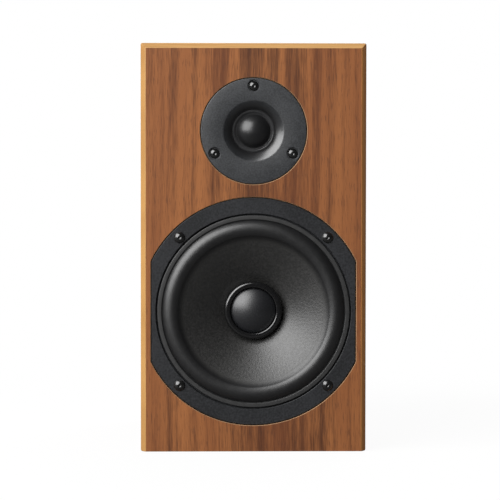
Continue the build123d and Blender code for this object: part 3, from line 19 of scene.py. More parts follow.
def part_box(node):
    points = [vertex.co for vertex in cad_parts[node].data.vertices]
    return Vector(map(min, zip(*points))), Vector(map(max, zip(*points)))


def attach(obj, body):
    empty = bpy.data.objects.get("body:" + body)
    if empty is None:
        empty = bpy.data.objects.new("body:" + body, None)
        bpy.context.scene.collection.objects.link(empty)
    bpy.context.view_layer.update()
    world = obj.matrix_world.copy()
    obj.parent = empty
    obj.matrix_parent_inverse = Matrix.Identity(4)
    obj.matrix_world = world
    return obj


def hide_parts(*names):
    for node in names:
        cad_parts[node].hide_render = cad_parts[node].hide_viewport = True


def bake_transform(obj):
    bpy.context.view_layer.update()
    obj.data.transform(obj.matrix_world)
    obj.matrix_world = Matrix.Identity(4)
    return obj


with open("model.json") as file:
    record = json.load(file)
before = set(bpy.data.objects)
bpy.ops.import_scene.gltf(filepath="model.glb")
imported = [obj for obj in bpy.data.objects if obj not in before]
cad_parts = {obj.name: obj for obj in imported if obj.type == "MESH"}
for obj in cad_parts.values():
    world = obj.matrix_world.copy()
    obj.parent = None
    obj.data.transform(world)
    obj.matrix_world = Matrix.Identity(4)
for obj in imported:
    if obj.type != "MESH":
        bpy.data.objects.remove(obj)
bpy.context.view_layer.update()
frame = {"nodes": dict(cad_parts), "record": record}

MM = 0.001
print(len(frame["nodes"]), "solids")

# %% [markdown]
# ## Sizes from the solids
#
# Z is up, and the front looks along -Y. Where the box of a solid shows a size, the size is read from
# it and not typed again, so that the looks follow when a solid changes. Outlines are in millimetres,
# with depths counted from the face of the baffle. Meshes are in metres.

# %% Measure the solids
def middle(node):
    """Centre of a solid's box."""
    low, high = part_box(node)
    return (low + high) / 2


def radius_of(node):
    """Radius in millimetres of a solid that is round about the cabinet's middle line."""
    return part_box(node)[1].x / MM


def depths(node):
    """Depths in millimetres of a solid's front and back behind the face of the baffle."""
    return [(corner.y - FRONT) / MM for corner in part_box(node)]


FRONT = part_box("front_baffle")[0].y
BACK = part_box("rear_panel")[1].y
HALF_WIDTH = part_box("front_baffle")[1].x
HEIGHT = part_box("front_baffle")[1].z
WOOFER = Vector((0, FRONT, middle("woofer_cone").z))
TWEETER = Vector((0, FRONT, middle("tweeter_dome").z))
print(f"{2 * HALF_WIDTH:.3f} m wide, {BACK - FRONT:.3f} m deep and {HEIGHT:.3f} m tall")

# %% [markdown]
# ## Meshes from loops of points
#
# Nearly everything on a speaker is turned or moulded. Its surface is a grid: a stack of loops with
# equally many points, joined in order. It could be modelled by hand with extrude and scale, but then
# no size could be changed later. One function that skins any grid keeps a piece to a short list of
# sizes.

# %% Skin a grid of points
MERGE = 1e-6  # points closer than this are one point
SHARP = radians(32)  # edges that turn more than this stay crisp


def closed(mesh):
    """Merge points that meet, turn all faces outwards and shade all but the sharp edges smooth."""
    work = bmesh.new()
    work.from_mesh(mesh)
    bmesh.ops.remove_doubles(work, verts=work.verts, dist=MERGE)
    bmesh.ops.recalc_face_normals(work, faces=work.faces)
    work.to_mesh(mesh)
    work.free()
    mesh.shade_smooth()
    mesh.set_sharp_from_angle(angle=SHARP)
    return mesh


def skin(name, rows, ring=False, caps=False):
    """Mesh through loops of points; a ring joins the last loop to the first, caps close the ends."""
    grid = np.asarray(rows, float)
    index = np.arange(grid.shape[0] * grid.shape[1]).reshape(grid.shape[:2])
    here, ahead = (index, np.roll(index, -1, 0)) if ring else (index[:-1], index[1:])
    quads = np.stack([here, np.roll(here, -1, 1), np.roll(ahead, -1, 1), ahead], -1)
    faces = quads.reshape(-1, 4).tolist()
    if caps:
        faces += [index[0].tolist(), index[-1].tolist()]
    mesh = bpy.data.meshes.new(name)
    mesh.from_pydata(grid.reshape(-1, 3).tolist(), [], faces)
    return closed(mesh)


print("loops of points can be skinned")

# %% [markdown]
# ## Outlines with round corners
#
# Edges on real parts are never sharp, and their fine rounds are what catches the light. A Bevel
# modifier can add them, but gives all edges the same width. `rounded` takes corners with a radius
# each and returns an outline with those arcs in it. `arc` draws a long curve from three points that
# are easy to measure.

# %% Draw outlines
def rounded(corners, steps=6):
    """Closed outline through (x, y, radius) corners, with an arc where a corner has a radius."""
    outline = []
    for i, (x, y, radius) in enumerate(corners):
        corner = Vector((x, y))
        if not radius:
            outline.append((x, y))
            continue
        back = (Vector(corners[i - 1][:2]) - corner).normalized()
        ahead = (Vector(corners[(i + 1) % len(corners)][:2]) - corner).normalized()
        half = back.angle(ahead) / 2
        centre = corner + (back + ahead).normalized() * radius / sin(half)
        first = corner + back * radius / tan(half) - centre
        last = corner + ahead * radius / tan(half) - centre
        sweep = pi - 2 * half
        for step in range(steps + 1):
            share = step / steps
            spoke = (first * sin((1 - share) * sweep) + last * sin(share * sweep)) / sin(sweep)
            outline.append(tuple(centre + spoke))
    return outline


def rectangle(low, high, radius, steps=6):
    """Outline of a rectangle between two opposite corners, with all four rounded alike."""
    corners = (low, (high[0], low[1]), high, (low[0], high[1]))
    return rounded([(x, y, radius) for x, y in corners], steps)


def arc(first, halfway, last, steps=20):
    """Points on the circle through three points, from the first to the last."""
    a, b, c = (np.array(point, float) for point in (first, halfway, last))
    centre = np.linalg.solve(2 * np.array([b - a, c - a]), [b @ b - a @ a, c @ c - a @ a])
    turn = np.unwrap([atan2(*(point - centre)[::-1]) for point in (a, b, c)])
    radius = np.linalg.norm(a - centre)
    sweep = np.linspace(turn[0], turn[2], steps + 1)
    return [(centre[0] + radius * cos(t), centre[1] + radius * sin(t)) for t in sweep]


print("outlines can be rounded")

# %% [markdown]
# ## Turning and cutting
#
# A turned piece is a closed outline of radius and depth, swept round an axis. The Screw modifier does
# that too. Here the sweep is a grid like any other, so its poles and seams close by the same rules.
# Holes are cut with Boolean modifiers, as a router or a drill cuts the real board, and the result is
# kept as a plain mesh.

# %% Turn outlines and cut holes
def turned(name, outline, centre, steps=160):
    """Mesh of a (radius, depth) outline in millimetres, turned about an axis along Y."""
    radius, depth = np.array(outline, float).T * MM
    angle = np.arange(steps) * 2 * pi / steps
    x = centre[0] + np.outer(radius, np.cos(angle))
    y = centre[1] + np.repeat(depth[:, None], steps, 1)
    z = centre[2] + np.outer(radius, np.sin(angle))
    meets_axis = max(radius[0], radius[-1]) < MERGE
    return skin(name, np.stack([x, y, z], -1), ring=not meets_axis)


def into_scene(name, data):
    """An object in the scene for a mesh, a lamp or a camera."""
    made = bpy.data.objects.new(name, data)
    bpy.context.scene.collection.objects.link(made)
    return made


def worked_out(made, *helpers):
    """Plain mesh of an object after its modifiers; the object and its helpers are removed."""
    name = made.data.name
    bpy.context.view_layer.update()
    ready = made.evaluated_get(bpy.context.evaluated_depsgraph_get())
    mesh = bpy.data.meshes.new_from_object(ready)
    for spent in (made, *helpers):
        bpy.data.objects.remove(spent)
    mesh.name = name
    return mesh


def cut(mesh, *tools):
    """The mesh with the tools' shapes taken out of it."""
    blank, *cutters = (into_scene(part.name, part) for part in (mesh, *tools))
    for cutter in cutters:
        step = blank.modifiers.new(cutter.name, "BOOLEAN")
        step.operation, step.solver, step.object = "DIFFERENCE", "EXACT", cutter
    return closed(worked_out(blank, *cutters))


print("outlines can be turned, and meshes cut")

# %% [markdown]
# ## Shader sums in plain Python
#
# A finish is a tree of nodes. Linking them one by one hides what a pattern means, so `Wire` wraps one
# socket and overloads the operators: `1 - mask`, or `bands * 0.8 + streaks`, adds its Math nodes by
# itself. The `node` method adds any other kind of node.

# %% Wrap node sockets
MIX_NONE, MIX_FULL, MIX_COLOUR = 6, 7, 2  # a Mix node's two colour inputs and its colour output


class Wire:
    """One socket of a node tree, with arithmetic that adds nodes to the tree."""

    def __init__(self, socket):
        self.socket = socket

    def node(self, kind, settings=None, inputs=None, out=0):
        """Add a node: its settings first, then a value or a wire for each input named."""
        tree = self.socket.id_data
        made = tree.nodes.new(kind)
        for name, value in (settings or {}).items():
            setattr(made, name, value)
        for key, value in (inputs or {}).items():
            if isinstance(value, Wire):
                tree.links.new(value.socket, made.inputs[key])
            else:
                made.inputs[key].default_value = value
        return Wire(made.outputs[out])

    def math(self, operation, first, second=0.0, third=0.0):
        """A Math node, named by its operation."""
        inputs = {0: first, 1: second, 2: third}
        return self.node("ShaderNodeMath", {"operation": operation}, inputs)

    def __add__(self, other):
        return self.math("ADD", self, other)

    def __sub__(self, other):
        return self.math("SUBTRACT", self, other)

    def __rsub__(self, other):
        return self.math("SUBTRACT", other, self)

    def __mul__(self, other):
        return self.math("MULTIPLY", self, other)

    __radd__, __rmul__ = __add__, __mul__

    def parts(self):
        """The three numbers of a vector."""
        split = self.node("ShaderNodeSeparateXYZ", inputs={0: self}).socket.node
        return [Wire(socket) for socket in split.outputs]

    def noise(self, scale=1.0, detail=2.0):
        """Soft noise from 0 to 1, about one half, at so many swings per unit."""
        inputs = {"Vector": self, "Scale": scale, "Detail": detail}
        return self.node("ShaderNodeTexNoise", inputs=inputs)

    def between(self, low, high):
        """0 below low, 1 above high and smooth between."""
        inputs = {"Value": self, "From Min": low, "From Max": high}
        return self.node("ShaderNodeMapRange", {"interpolation_type": "SMOOTHSTEP"}, inputs)

    def mix(self, none, full):
        """Colour that goes from none to full as this number goes from 0 to 1."""
        inputs = {0: self, MIX_NONE: none, MIX_FULL: full}
        return self.node("ShaderNodeMix", {"data_type": "RGBA"}, inputs, MIX_COLOUR)

    def bump(self, depth, strength):
        """Surface normal of this height, where a height of 1 stands so many millimetres proud."""
        inputs = {"Height": self, "Distance": depth * MM, "Strength": strength}
        return self.node("ShaderNodeBump", inputs=inputs)


print("sockets can be added, mixed and mapped")

# %% [markdown]
# ## The start of every finish
#
# Colours are picked as they look on a screen, but a shader counts light, so `paint` undoes the
# screen's standard curve. Patterns start from the point's place on the object. That needs no
# unwrapping, runs on from one board to the next, and stays put when a piece moves.

# %% Start a finish
def paint(red, green, blue):
    """Linear colour of an 8-bit screen colour."""
    shares = [value / 255 for value in (red, green, blue)]
    linear = [s / 12.92 if s <= 0.04045 else ((s + 0.055) / 1.055) ** 2.4 for s in shares]
    return (*linear, 1.0)


def new_finish(name, **fixed):
    """A material, its shader with these fixed values, and the place of a point on the object."""
    material = bpy.data.materials.new(name)
    material.use_nodes = True
    shader = material.node_tree.nodes["Principled BSDF"]
    for socket, value in fixed.items():
        shader.inputs[socket.replace("_", " ")].default_value = value
    place = Wire(material.node_tree.nodes.new("ShaderNodeTexCoord").outputs["Object"])
    return material, shader, place


def feed(shader, **wires):
    """Link wires to the shader's sockets."""
    for socket, wire in wires.items():
        shader.id_data.links.new(wire.socket, shader.inputs[socket.replace("_", " ")])


print("screen white is", paint(255, 255, 255), "to a shader")

# %% [markdown]
# ## Walnut veneer
#
# Veneer shows broad bands of colour, narrower streaks, and short dark pores, all drawn out along the
# grain. A Wave texture makes rings that are too even. Noise on coordinates that are squeezed along
# the grain gives all three, with a slow wander so that no line is straight. The grain runs up the
# front, the sides and the back, and across the top and the bottom. Near the middle of the front the
# veneer has a darker heart.

# %% Lay the grain
WANDER, WANDER_ACROSS, WANDER_ALONG = 0.012, 9, 3.5  # sideways drift in metres, swings per metre


def strands(across, length, fine, drawn_out, detail=2.0):
    """Noise with so many swings per metre across the grain and along it."""
    inputs = {0: across * fine, 1: length * drawn_out}
    return across.node("ShaderNodeCombineXYZ", inputs=inputs).noise(detail=detail)


def grain_place(place, along):
    """Across-the-grain and along-the-grain coordinates, with a slow wander in the grain."""
    x, y, z = place.parts()
    across, length = (y + z, x) if along == "X" else (x + y, z)
    wander = strands(across, length, WANDER_ACROSS, WANDER_ALONG)
    return across + (wander - 0.5) * WANDER, length


print("the grain wanders by", WANDER / MM, "mm")

# %% Make the walnut
WALNUT_DARK, WALNUT_LIGHT = paint(87, 51, 32), paint(164, 104, 60)
WALNUT_WARM, WALNUT_PORE = paint(124, 72, 43), paint(62, 38, 28)
HEART_SHIFT, HEART_LEAN, HEART_EDGE = 0.026, 0.08, (0.004, 0.05)  # metres, metres per metre, metres


def walnut(name, along):
    """Oiled walnut veneer."""
    material, shader, place = new_finish(name, Specular_IOR_Level=0.3)
    across, length = grain_place(place, along)
    bands = strands(across, length, fine=46, drawn_out=1.4, detail=3)
    streaks = strands(across, length, fine=190, drawn_out=4.5, detail=4)
    fibres = strands(across, length, fine=1400, drawn_out=60)
    pores = strands(across, length, fine=1500, drawn_out=95).between(0.57, 0.68)
    warm = strands(across, length, fine=24, drawn_out=2.2).between(0.4, 0.68)
    aside = across.math("ABSOLUTE", across - FRONT - HEART_SHIFT + length * HEART_LEAN)
    heart = 1 - aside.between(*HEART_EDGE)
    tone = bands * 0.8 + streaks * 1.1 + fibres * 0.6 - heart * 0.2 - 0.65
    wood = tone.between(0.24, 0.78).mix(WALNUT_DARK, WALNUT_LIGHT)
    wood = (warm * 0.5).mix(wood, WALNUT_WARM)
    wood = (pores * 0.4).mix(wood, WALNUT_PORE)
    feed(
        shader,
        Base_Color=wood,
        Roughness=0.4 + fibres * 0.16 + pores * 0.15,
        Normal=(fibres * 0.5 - pores).bump(0.06, 0.5),
    )
    return material


walnut_up, walnut_across = walnut("WalnutUp", "Z"), walnut("WalnutAcross", "X")
print("veneer:", walnut_up.name, "and", walnut_across.name)

# %% [markdown]
# ## Honey-coloured wood
#
# The edging strips are a paler solid wood with a quieter grain. One function makes all three, with
# the two ends of each strip's colour as its inputs. The right strip is redder: painted warm shade, for
# the strip that faces away from the lamp. The top strip is a little paler than the left.

# %% Make the honey-coloured wood
def honey_wood(name, along, dark, light):
    """Oiled solid edging, paler than the veneer."""
    material, shader, place = new_finish(name, Specular_IOR_Level=0.4)
    across, length = grain_place(place, along)
    streaks = strands(across, length, fine=420, drawn_out=5, detail=3)
    fibres = strands(across, length, fine=1800, drawn_out=30)
    tone = (streaks * 0.8 + fibres * 0.4 - 0.1).between(0.3, 0.72)
    feed(
        shader,
        Base_Color=tone.mix(dark, light),
        Roughness=0.36 + fibres * 0.15,
        Normal=fibres.bump(0.04, 0.5),
    )
    return material


honey_left = honey_wood("HoneyLeft", "Z", paint(171, 123, 69), paint(199, 151, 89))
# The right strip's redder colours are painted warm shade, for its side away from the lamp.
honey_right_painted_shade = honey_wood("HoneyRight", "Z", paint(172, 112, 58), paint(200, 138, 76))
honey_top = honey_wood("HoneyTop", "X", paint(180, 134, 80), paint(208, 163, 104))
print("strips:", *(stick.name for stick in (honey_left, honey_right_painted_shade, honey_top)))

# %% [markdown]
# ## Moulded and coated surfaces
#
# Plastics, paints, felt and plain metal differ in three ways: the size of their grain, how much it
# mottles the colour, and how rough they are. Each could have its own tree, but one function with
# those sizes as inputs covers them all.

# %% Mottle a surface
BLOTCHES = 18  # broad blotches per metre


def grained(name, dark, light, grain, rough, depth=0.02, spread=0.12, **fixed):
    """A surface mottled between two screen colours, its grain's width and depth in millimetres."""
    material, shader, place = new_finish(name, **fixed)
    mottle, blotch = place.noise(1 / (grain * MM), 3), place.noise(BLOTCHES, 2)
    tone = (mottle * 0.8 + blotch * 0.4 - 0.1).between(0.32, 0.68)
    feed(
        shader,
        Base_Color=tone.mix(paint(*dark), paint(*light)),
        Roughness=rough - spread / 2 + mottle * spread,
        Normal=mottle.bump(depth, 0.6),
    )
    return material


print("surfaces can be mottled, with", BLOTCHES, "broad blotches in a metre")

# %% [markdown]
# ## Cloth and wound wire
#
# The dome and the spider are coated cloth, and the coils are enamelled wire. Modelled threads would
# be far too fine to see. Two crossed sine waves give the weave, and one gives the turns of a coil,
# both in the colour and in a shallow bump.

# %% Weave cloth and wind wire
def woven(name, dark, light, pitch, rough, depth):
    """Coated cloth between two screen colours, its thread's pitch and depth in millimetres."""
    material, shader, place = new_finish(name, Specular_IOR_Level=0.7)
    x, y, z = place.parts()
    turn = 2 * pi / (pitch * MM)
    weave = x.math("SINE", (x + y) * turn) * x.math("SINE", (z + y) * turn)
    worn = place.noise(120, 3)
    tone = (weave * 0.25 + worn * 0.7 + 0.15).between(0.2, 0.8)
    feed(
        shader,
        Base_Color=tone.mix(paint(*dark), paint(*light)),
        Roughness=rough + worn * 0.12,
        Normal=weave.bump(depth, 0.5),
    )
    return material


def wound(name, dark, light, pitch):
    """Enamelled wire between two screen colours, laid in turns with a pitch in millimetres."""
    material, shader, place = new_finish(name, Metallic=0.9)
    x, y, z = place.parts()
    turns = x.math("SINE", (y + z) * (2 * pi / (pitch * MM))) * 0.5 + 0.5
    tone = turns * 0.7 + place.noise(300) * 0.3
    feed(
        shader,
        Base_Color=tone.mix(paint(*dark), paint(*light)),
        Roughness=0.4 - turns * 0.12,
        Normal=turns.bump(0.1, 1.0),
    )
    return material


print("cloth can be woven and wire wound")

# %% [markdown]
# ## Surfaces that change with the radius
#
# The tweeter's plate has a leather grain outside and a smoother dish, with painted shade that darkens
# it towards its throat. The woofer's rubber is satin on the roll, greyer on the lip outside it, and as
# grey as the cone where it is glued to the cone. Separate materials would meet in hard lines. The
# distance from the driver's axis, taken between two radii, makes soft ones.

# %% Change a surface with the radius
# The plate's colour darkens towards the throat between the second pair of radii: painted shade.
DISH_EDGE, DISH_PAINTED_SHADE = (0.0228, 0.0238), (0.018, 0.0265)  # radii in metres where the plate changes
# Between the first pair of radii the rubber turns greyer, towards its flat lip.
GREYER_FROM, GLUED_TO = (0.0712, 0.0718), (0.0545, 0.0585)  # radii in metres where the rubber changes
CONE_TONES = (28, 28, 27), (44, 43, 42)


def from_axis(place, centre):
    """Distance of a point from an axis along Y."""
    x, _, z = place.parts()
    up = z - centre.z
    return x.math("SQRT", x * x + up * up)


def faceplate(name):
    """Leather-grained plastic, smoother in the dish, with painted shade at its throat."""
    material, shader, place = new_finish(name, Specular_IOR_Level=1.0)
    radius = from_axis(place, TWEETER)
    outside, out_of_painted_shade = radius.between(*DISH_EDGE), radius.between(*DISH_PAINTED_SHADE)
    leather = place.noise(900, 3)
    tone = (leather + place.noise(60) * 0.3 - 0.15).between(0.3, 0.7)
    feed(
        shader,
        # Painted shade: near-black colour towards the dish's throat, the leather tone outside it.
        Base_Color=out_of_painted_shade.mix(paint(26, 26, 27), tone.mix(paint(25, 27, 30), paint(57, 59, 62))),
        Roughness=0.3 + outside * (0.1 + leather * 0.08),
        Normal=(leather * outside).bump(0.04, 0.6),
    )
    return material


def rubber(name):
    """Black rubber: a satin roll, a greyer lip outside it, and a lip as grey as the cone inside it."""
    material, shader, place = new_finish(name, Specular_IOR_Level=0.9)
    radius = from_axis(place, WOOFER)
    lip, glued = radius.between(*GREYER_FROM), 1 - radius.between(*GLUED_TO)
    mottle = place.noise(330, 3)
    satin = mottle.mix(paint(17, 17, 18), paint(23, 23, 24))
    # Greyer colour of the flat lip outside the roll.
    greyer = mottle.mix(paint(38, 38, 38), paint(52, 52, 52))
    like_cone = mottle.mix(*(paint(*tone) for tone in CONE_TONES))
    feed(
        shader,
        Base_Color=glued.mix(lip.mix(satin, greyer), like_cone),
        Roughness=0.36 + mottle * 0.12 + glued * 0.06,
        Normal=mottle.bump(0.02, 0.6),
    )
    return material


# From this radius out, the rubber's lip is greyer.
print("the rubber is dusty from a radius of", GREYER_FROM[0] / MM, "mm")

# %% [markdown]
# ## A finish for every slot
#
# The record of the part names a finish slot for each solid. Here every slot gets its finish: first
# what shows from outside, then what is inside. Colours are written as they look under plain light,
# so that the speaker can stand in other scenes too.

# %% List the finishes that show
METAL, GLOSSY = {"Metallic": 1.0}, {"Specular_IOR_Level": 1.0}
finishes = {
    "walnut": walnut_up,
    "honey_edging": honey_left,
    "cast_black": grained("PowderCoat", (24, 25, 27), (45, 46, 49), 1.5, 0.46, 0.05),
    "surround_rubber": rubber("SurroundRubber"),
    "cone_plastic": grained("ConePlastic", *CONE_TONES, 1.7, 0.46, 0.25, 0.2, **GLOSSY),
    "ring_plastic": grained("RingPlastic", (14, 14, 15), (20, 20, 21), 2.0, 0.17, 0.003, **GLOSSY),
    "black_screw": grained("BlackedSteel", (15, 15, 15), (22, 22, 22), 1.2, 0.2, 0.004, **GLOSSY),
    "faceplate_plastic": faceplate("FaceplatePlastic"),
    "dome_fabric": woven("DomeFabric", (21, 21, 22), (32, 32, 33), 0.35, 0.28, 0.004),
    "black_plastic": grained("BlackPlastic", (24, 24, 25), (38, 38, 39), 0.6, 0.5),
    "plated_brass": grained("PlatedBrass", (186, 146, 72), (226, 188, 112), 2.0, 0.24, **METAL),
    "red_plastic": grained("RedPlastic", (150, 18, 20), (178, 28, 28), 1.5, 0.34),
    "knob_black": grained("KnobPlastic", (18, 18, 19), (30, 30, 31), 1.5, 0.34),
}
print(len(finishes), "finishes that show")

# %% List the finishes inside
finishes |= {
    "damping_felt": grained("DampingFelt", (58, 58, 62), (96, 95, 98), 1.1, 0.95, 0.4),
    "gasket_foam": grained("GasketFoam", (20, 20, 21), (44, 44, 45), 0.7, 0.95, 0.2),
    "spider_cloth": woven("SpiderCloth", (150, 104, 52), (201, 156, 92), 1.0, 0.8, 0.2),
    "former_aluminium": grained("FormerFoil", (170, 171, 174), (205, 206, 208), 1.5, 0.3, **METAL),
    "copper": wound("WoundCopper", (120, 58, 30), (202, 117, 70), 0.6),
    "steel": grained("ZincedSteel", (128, 130, 133), (172, 173, 174), 2.5, 0.36, **METAL),
    "ferrite": grained("Ferrite", (38, 38, 40), (58, 57, 58), 0.8, 0.7, 0.05),
    "phenolic": grained("PhenolicBoard", (104, 62, 30), (142, 90, 48), 1.2, 0.5),
    "tinned_brass": grained("TinnedBrass", (176, 172, 160), (214, 212, 204), 1.5, 0.3, **METAL),
    "circuit_board": grained("CircuitBoard", (24, 72, 40), (44, 100, 58), 2.2, 0.36),
    "bobbin_plastic": grained("BobbinPlastic", (206, 202, 190), (228, 225, 215), 2.0, 0.45),
    "capacitor_film": grained("CapacitorWrap", (190, 134, 34), (222, 166, 60), 3.0, 0.3),
    "cement": grained("CementBody", (188, 184, 174), (216, 213, 205), 0.6, 0.9, 0.1),
    "lead_sleeve": grained("LeadSleeve", (26, 26, 28), (48, 48, 50), 1.5, 0.45),
}
print(len(finishes), "finishes in all")

# %% [markdown]
# ## Finish the solids, then replace some of them
#
# Every solid gets the finish of its slot first, so that nothing is left bare. `piece` then puts a new
# mesh in the place of a solid: same body, same slot. A piece that bends between two bodies is only
# `placed`, and rides on no body.

# %% Finish the imported solids
slot_of = {part["node"]: part["material_slot"] for part in frame["record"]["subparts"]}
for node, solid in frame["nodes"].items():
    solid.data.materials.clear()
    solid.data.materials.append(finishes[slot_of[node]])


def placed(mesh, node, finish=None):
    """An object for a mesh that stands for a solid, in that solid's finish."""
    mesh.materials.clear()
    mesh.materials.append(finish or finishes[slot_of[node]])
    made = into_scene(mesh.name, mesh)
    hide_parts(node)
    return made


def piece(mesh, node, body="cabinet", finish=None):
    """A mesh in the place of a solid, on its body."""
    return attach(placed(mesh, node, finish), body)


print("finished", len(slot_of), "solids")

# %% [markdown]
# ## The cabinet's wrap
#
# Four boards meet in mitres. Their outer edges are eased by hand with a few strokes of fine paper,
# and so are the back edges. A Bevel would open the mitres. Here each board is its section, run from
# the baffle to the back, with one more loop where the back edge is eased. The easing pulls the
# section's outer points towards the cabinet's middle, so that neighbouring boards still meet.

# %% Make the four boards
EASE, EASE_STEPS = 1.4, 4
NEAR = 2  # a point this close to an outer face of the cabinet lies on it
WALL = (HALF_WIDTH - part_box("rear_panel")[1].x) / MM
WRAP_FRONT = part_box("left_side_panel")[0].y
half_width, height = HALF_WIDTH / MM, HEIGHT / MM  # in millimetres


def board_section(span, reach):
    """Section of one board: its outer face along the first axis, mitred at both ends."""
    corner = EASE * (1 - cos(pi / 4))
    ends = [(-span + corner, reach - corner), (span - corner, reach - corner)]
    swing = [pi / 4 + pi / 4 * step / EASE_STEPS for step in range(1, EASE_STEPS + 1)]
    left = [(-span + EASE - EASE * cos(t), reach - EASE + EASE * sin(t)) for t in swing]
    right = [(-x, y) for x, y in reversed(left)]
    mitre = [(span - WALL, reach - WALL), (-span + WALL, reach - WALL)]
    return [ends[0], *left, *right, ends[1], *mitre]


def board(name, span, reach, turn):
    """One board: its section, turned to its side of the cabinet and run to the back."""
    along, out = np.array(board_section(span, reach)).T
    section = [along * cos(turn) - out * sin(turn), along * sin(turn) + out * cos(turn)]
    section = np.stack(section, -1)
    outer = (out > reach - WALL / 2)[:, None]
    on_face = outer * (np.abs(section) > [[half_width - NEAR, height / 2 - NEAR]])
    eased = section - np.sign(section) * EASE * on_face
    loops = []
    for y, loop in ((WRAP_FRONT, section), (BACK - EASE * MM, section), (BACK, eased)):
        loops.append([(x * MM, y, z * MM + HEIGHT / 2) for x, z in loop])
    return skin(name, loops, caps=True)


for node, span, reach, turn, finish in (
    ("top_panel", half_width, height / 2, 0, walnut_across),
    ("left_side_panel", height / 2, half_width, pi / 2, walnut_up),
    ("bottom_panel", half_width, height / 2, pi, walnut_across),
    ("right_side_panel", height / 2, half_width, -pi / 2, walnut_up),
):
    piece(board("Eased_" + node, span, reach, turn), node, finish=finish)
frame["nodes"]["rear_panel"].data.materials[0] = walnut_up
print("boards eased by", EASE, "mm")

# %% [markdown]
# ## The baffle
#
# The baffle is rabbeted on three sides for the edging strips, and routed so that both drivers sit
# flush. A router leaves a crisp wall with a hair of an arris. The round flange of the woofer is cut
# flat on two sides, and the opening follows it with an even gap. The blank is a stack of rectangles.
# Its openings are cut out of it, as they are on the bench, because such shapes make no single grid.

# %% Draw the baffle's loops
STRIP_LEG = (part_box("left_edging")[1].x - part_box("left_edging")[0].x) / MM
BAFFLE_DEPTH = depths("front_baffle")[1]
FLANGE_RADIUS, FLANGE_FLAT, FLANGE_CORNER = 88.3, 79.2, 4.0
FLANGE_STEPS, CORNER_STEPS = 60, 6


def from_place(place, points):
    """Points in metres, from points in millimetres about a place."""
    return [(place[0] + x * MM, place[1] + y * MM, place[2] + z * MM) for x, y, z in points]


def front_loop(half, top, depth, corner):
    """Rectangle standing on the cabinet's base line, at a depth behind the front."""
    outline = rectangle((-half, 0), (half, top), corner)
    return from_place((0, FRONT, 0), [(x, depth, z) for x, z in outline])


def flange_loop(gap, depth):
    """Outline of the woofer's flange, larger by a gap: two round ends and two flats."""
    radius, flat, corner = FLANGE_RADIUS + gap, FLANGE_FLAT + gap, FLANGE_CORNER + gap
    inset = flat - corner
    swing = atan2(np.sqrt((radius - corner) ** 2 - inset**2), inset)
    loop = []
    for side in (0, pi):
        for t in np.linspace(swing, pi - swing, FLANGE_STEPS):
            loop.append((radius * cos(side + t), radius * sin(side + t)))
        hub = (-cos(side) * inset, cos(side) * (radius - corner) * sin(swing))
        for t in np.linspace(pi - swing, pi, CORNER_STEPS)[1:]:
            loop.append((hub[0] + corner * cos(side + t), hub[1] + corner * sin(side + t)))
        for t in np.linspace(pi, pi + swing, CORNER_STEPS):
            loop.append((hub[0] + corner * cos(side + t), -hub[1] + corner * sin(side + t)))
    return from_place(WOOFER, [(x, depth, z) for x, z in loop])


print("the flange is", 2 * FLANGE_FLAT, "mm across its flats")

# %% Make the baffle
ARRIS, CRISP = 0.4, 0.02  # rounds of a routed edge and of a sawn corner
ROUTED_GAP = 0.5
PAST = 1  # how far a cutter reaches past the wood
WOOFER_REBATE, WOOFER_HOLE = 6.0, 74.2
TWEETER_REBATE, TWEETER_HOLE = 4.8, 30.0
CUT_STEPS = 180
face = (half_width - STRIP_LEG, height - STRIP_LEG)
blank = skin("FrontBaffle", [
    front_loop(*face, 0, CRISP),
    front_loop(*face, STRIP_LEG, CRISP),
    front_loop(half_width, height, STRIP_LEG, EASE),
    front_loop(half_width, height, BAFFLE_DEPTH, EASE),
], caps=True)
flange_cut = skin("FlangeCut", [
    flange_loop(ROUTED_GAP + ARRIS, -PAST),
    flange_loop(ROUTED_GAP + ARRIS, 0),
    flange_loop(ROUTED_GAP, ARRIS),
    flange_loop(ROUTED_GAP, WOOFER_REBATE),
], caps=True)
plate_edge = radius_of("tweeter_faceplate") + ROUTED_GAP
plate_cut = turned("TweeterPlateCut", [
    (0, -PAST), (plate_edge + ARRIS, -PAST), (plate_edge + ARRIS, 0), (plate_edge, ARRIS),
    (plate_edge, TWEETER_REBATE), (0, TWEETER_REBATE),
], TWEETER, CUT_STEPS)
holes = []
for driver, size in ((WOOFER, WOOFER_HOLE), (TWEETER, TWEETER_HOLE)):
    through = [(0, PAST), (size, PAST), (size, BAFFLE_DEPTH + PAST), (0, BAFFLE_DEPTH + PAST)]
    holes.append(turned("DriverHole", through, driver, CUT_STEPS))
baffle = cut(blank, flange_cut, plate_cut, *holes)
piece(baffle, "front_baffle")
print("baffle routed for a", round(2 * plate_edge, 1), "mm plate")

# %% [markdown]
# Veneer covers only the face and the outer edges. Inside the routed openings the raw board shows, and
# on the top edge the grain runs across. Each face of the mesh picks one of three materials by where
# it lies.

# %% Show raw board where the router has been
RAW, ACROSS = 1, 2
raw_board = grained("RawBoard", (140, 104, 74), (178, 140, 104), 0.5, 0.85, 0.05)
baffle.materials.append(raw_board)
baffle.materials.append(walnut_across)
for flat in baffle.polygons:
    x, y, z = flat.center / MM
    if z > face[1]:
        flat.material_index = ACROSS
    elif abs(x) < face[0] and y > FRONT / MM + ARRIS / 4 and z > EASE:
        flat.material_index = RAW
print(sum(flat.material_index == RAW for flat in baffle.polygons), "faces of raw board")

# %% [markdown]
# ## The edging strips
#
# The strips are three-sided, with their broad face at 45 degrees. The arris between that face and
# the front is rubbed round, which is where a thin bright line of light runs along the real one. A
# strip is its section, drawn along the edge, with ends that follow the mitres. A curve with a bevel
# object would do this too, but its ends would stand proud of the cabinet's eased corners. Here the ends
# turn with those corners.

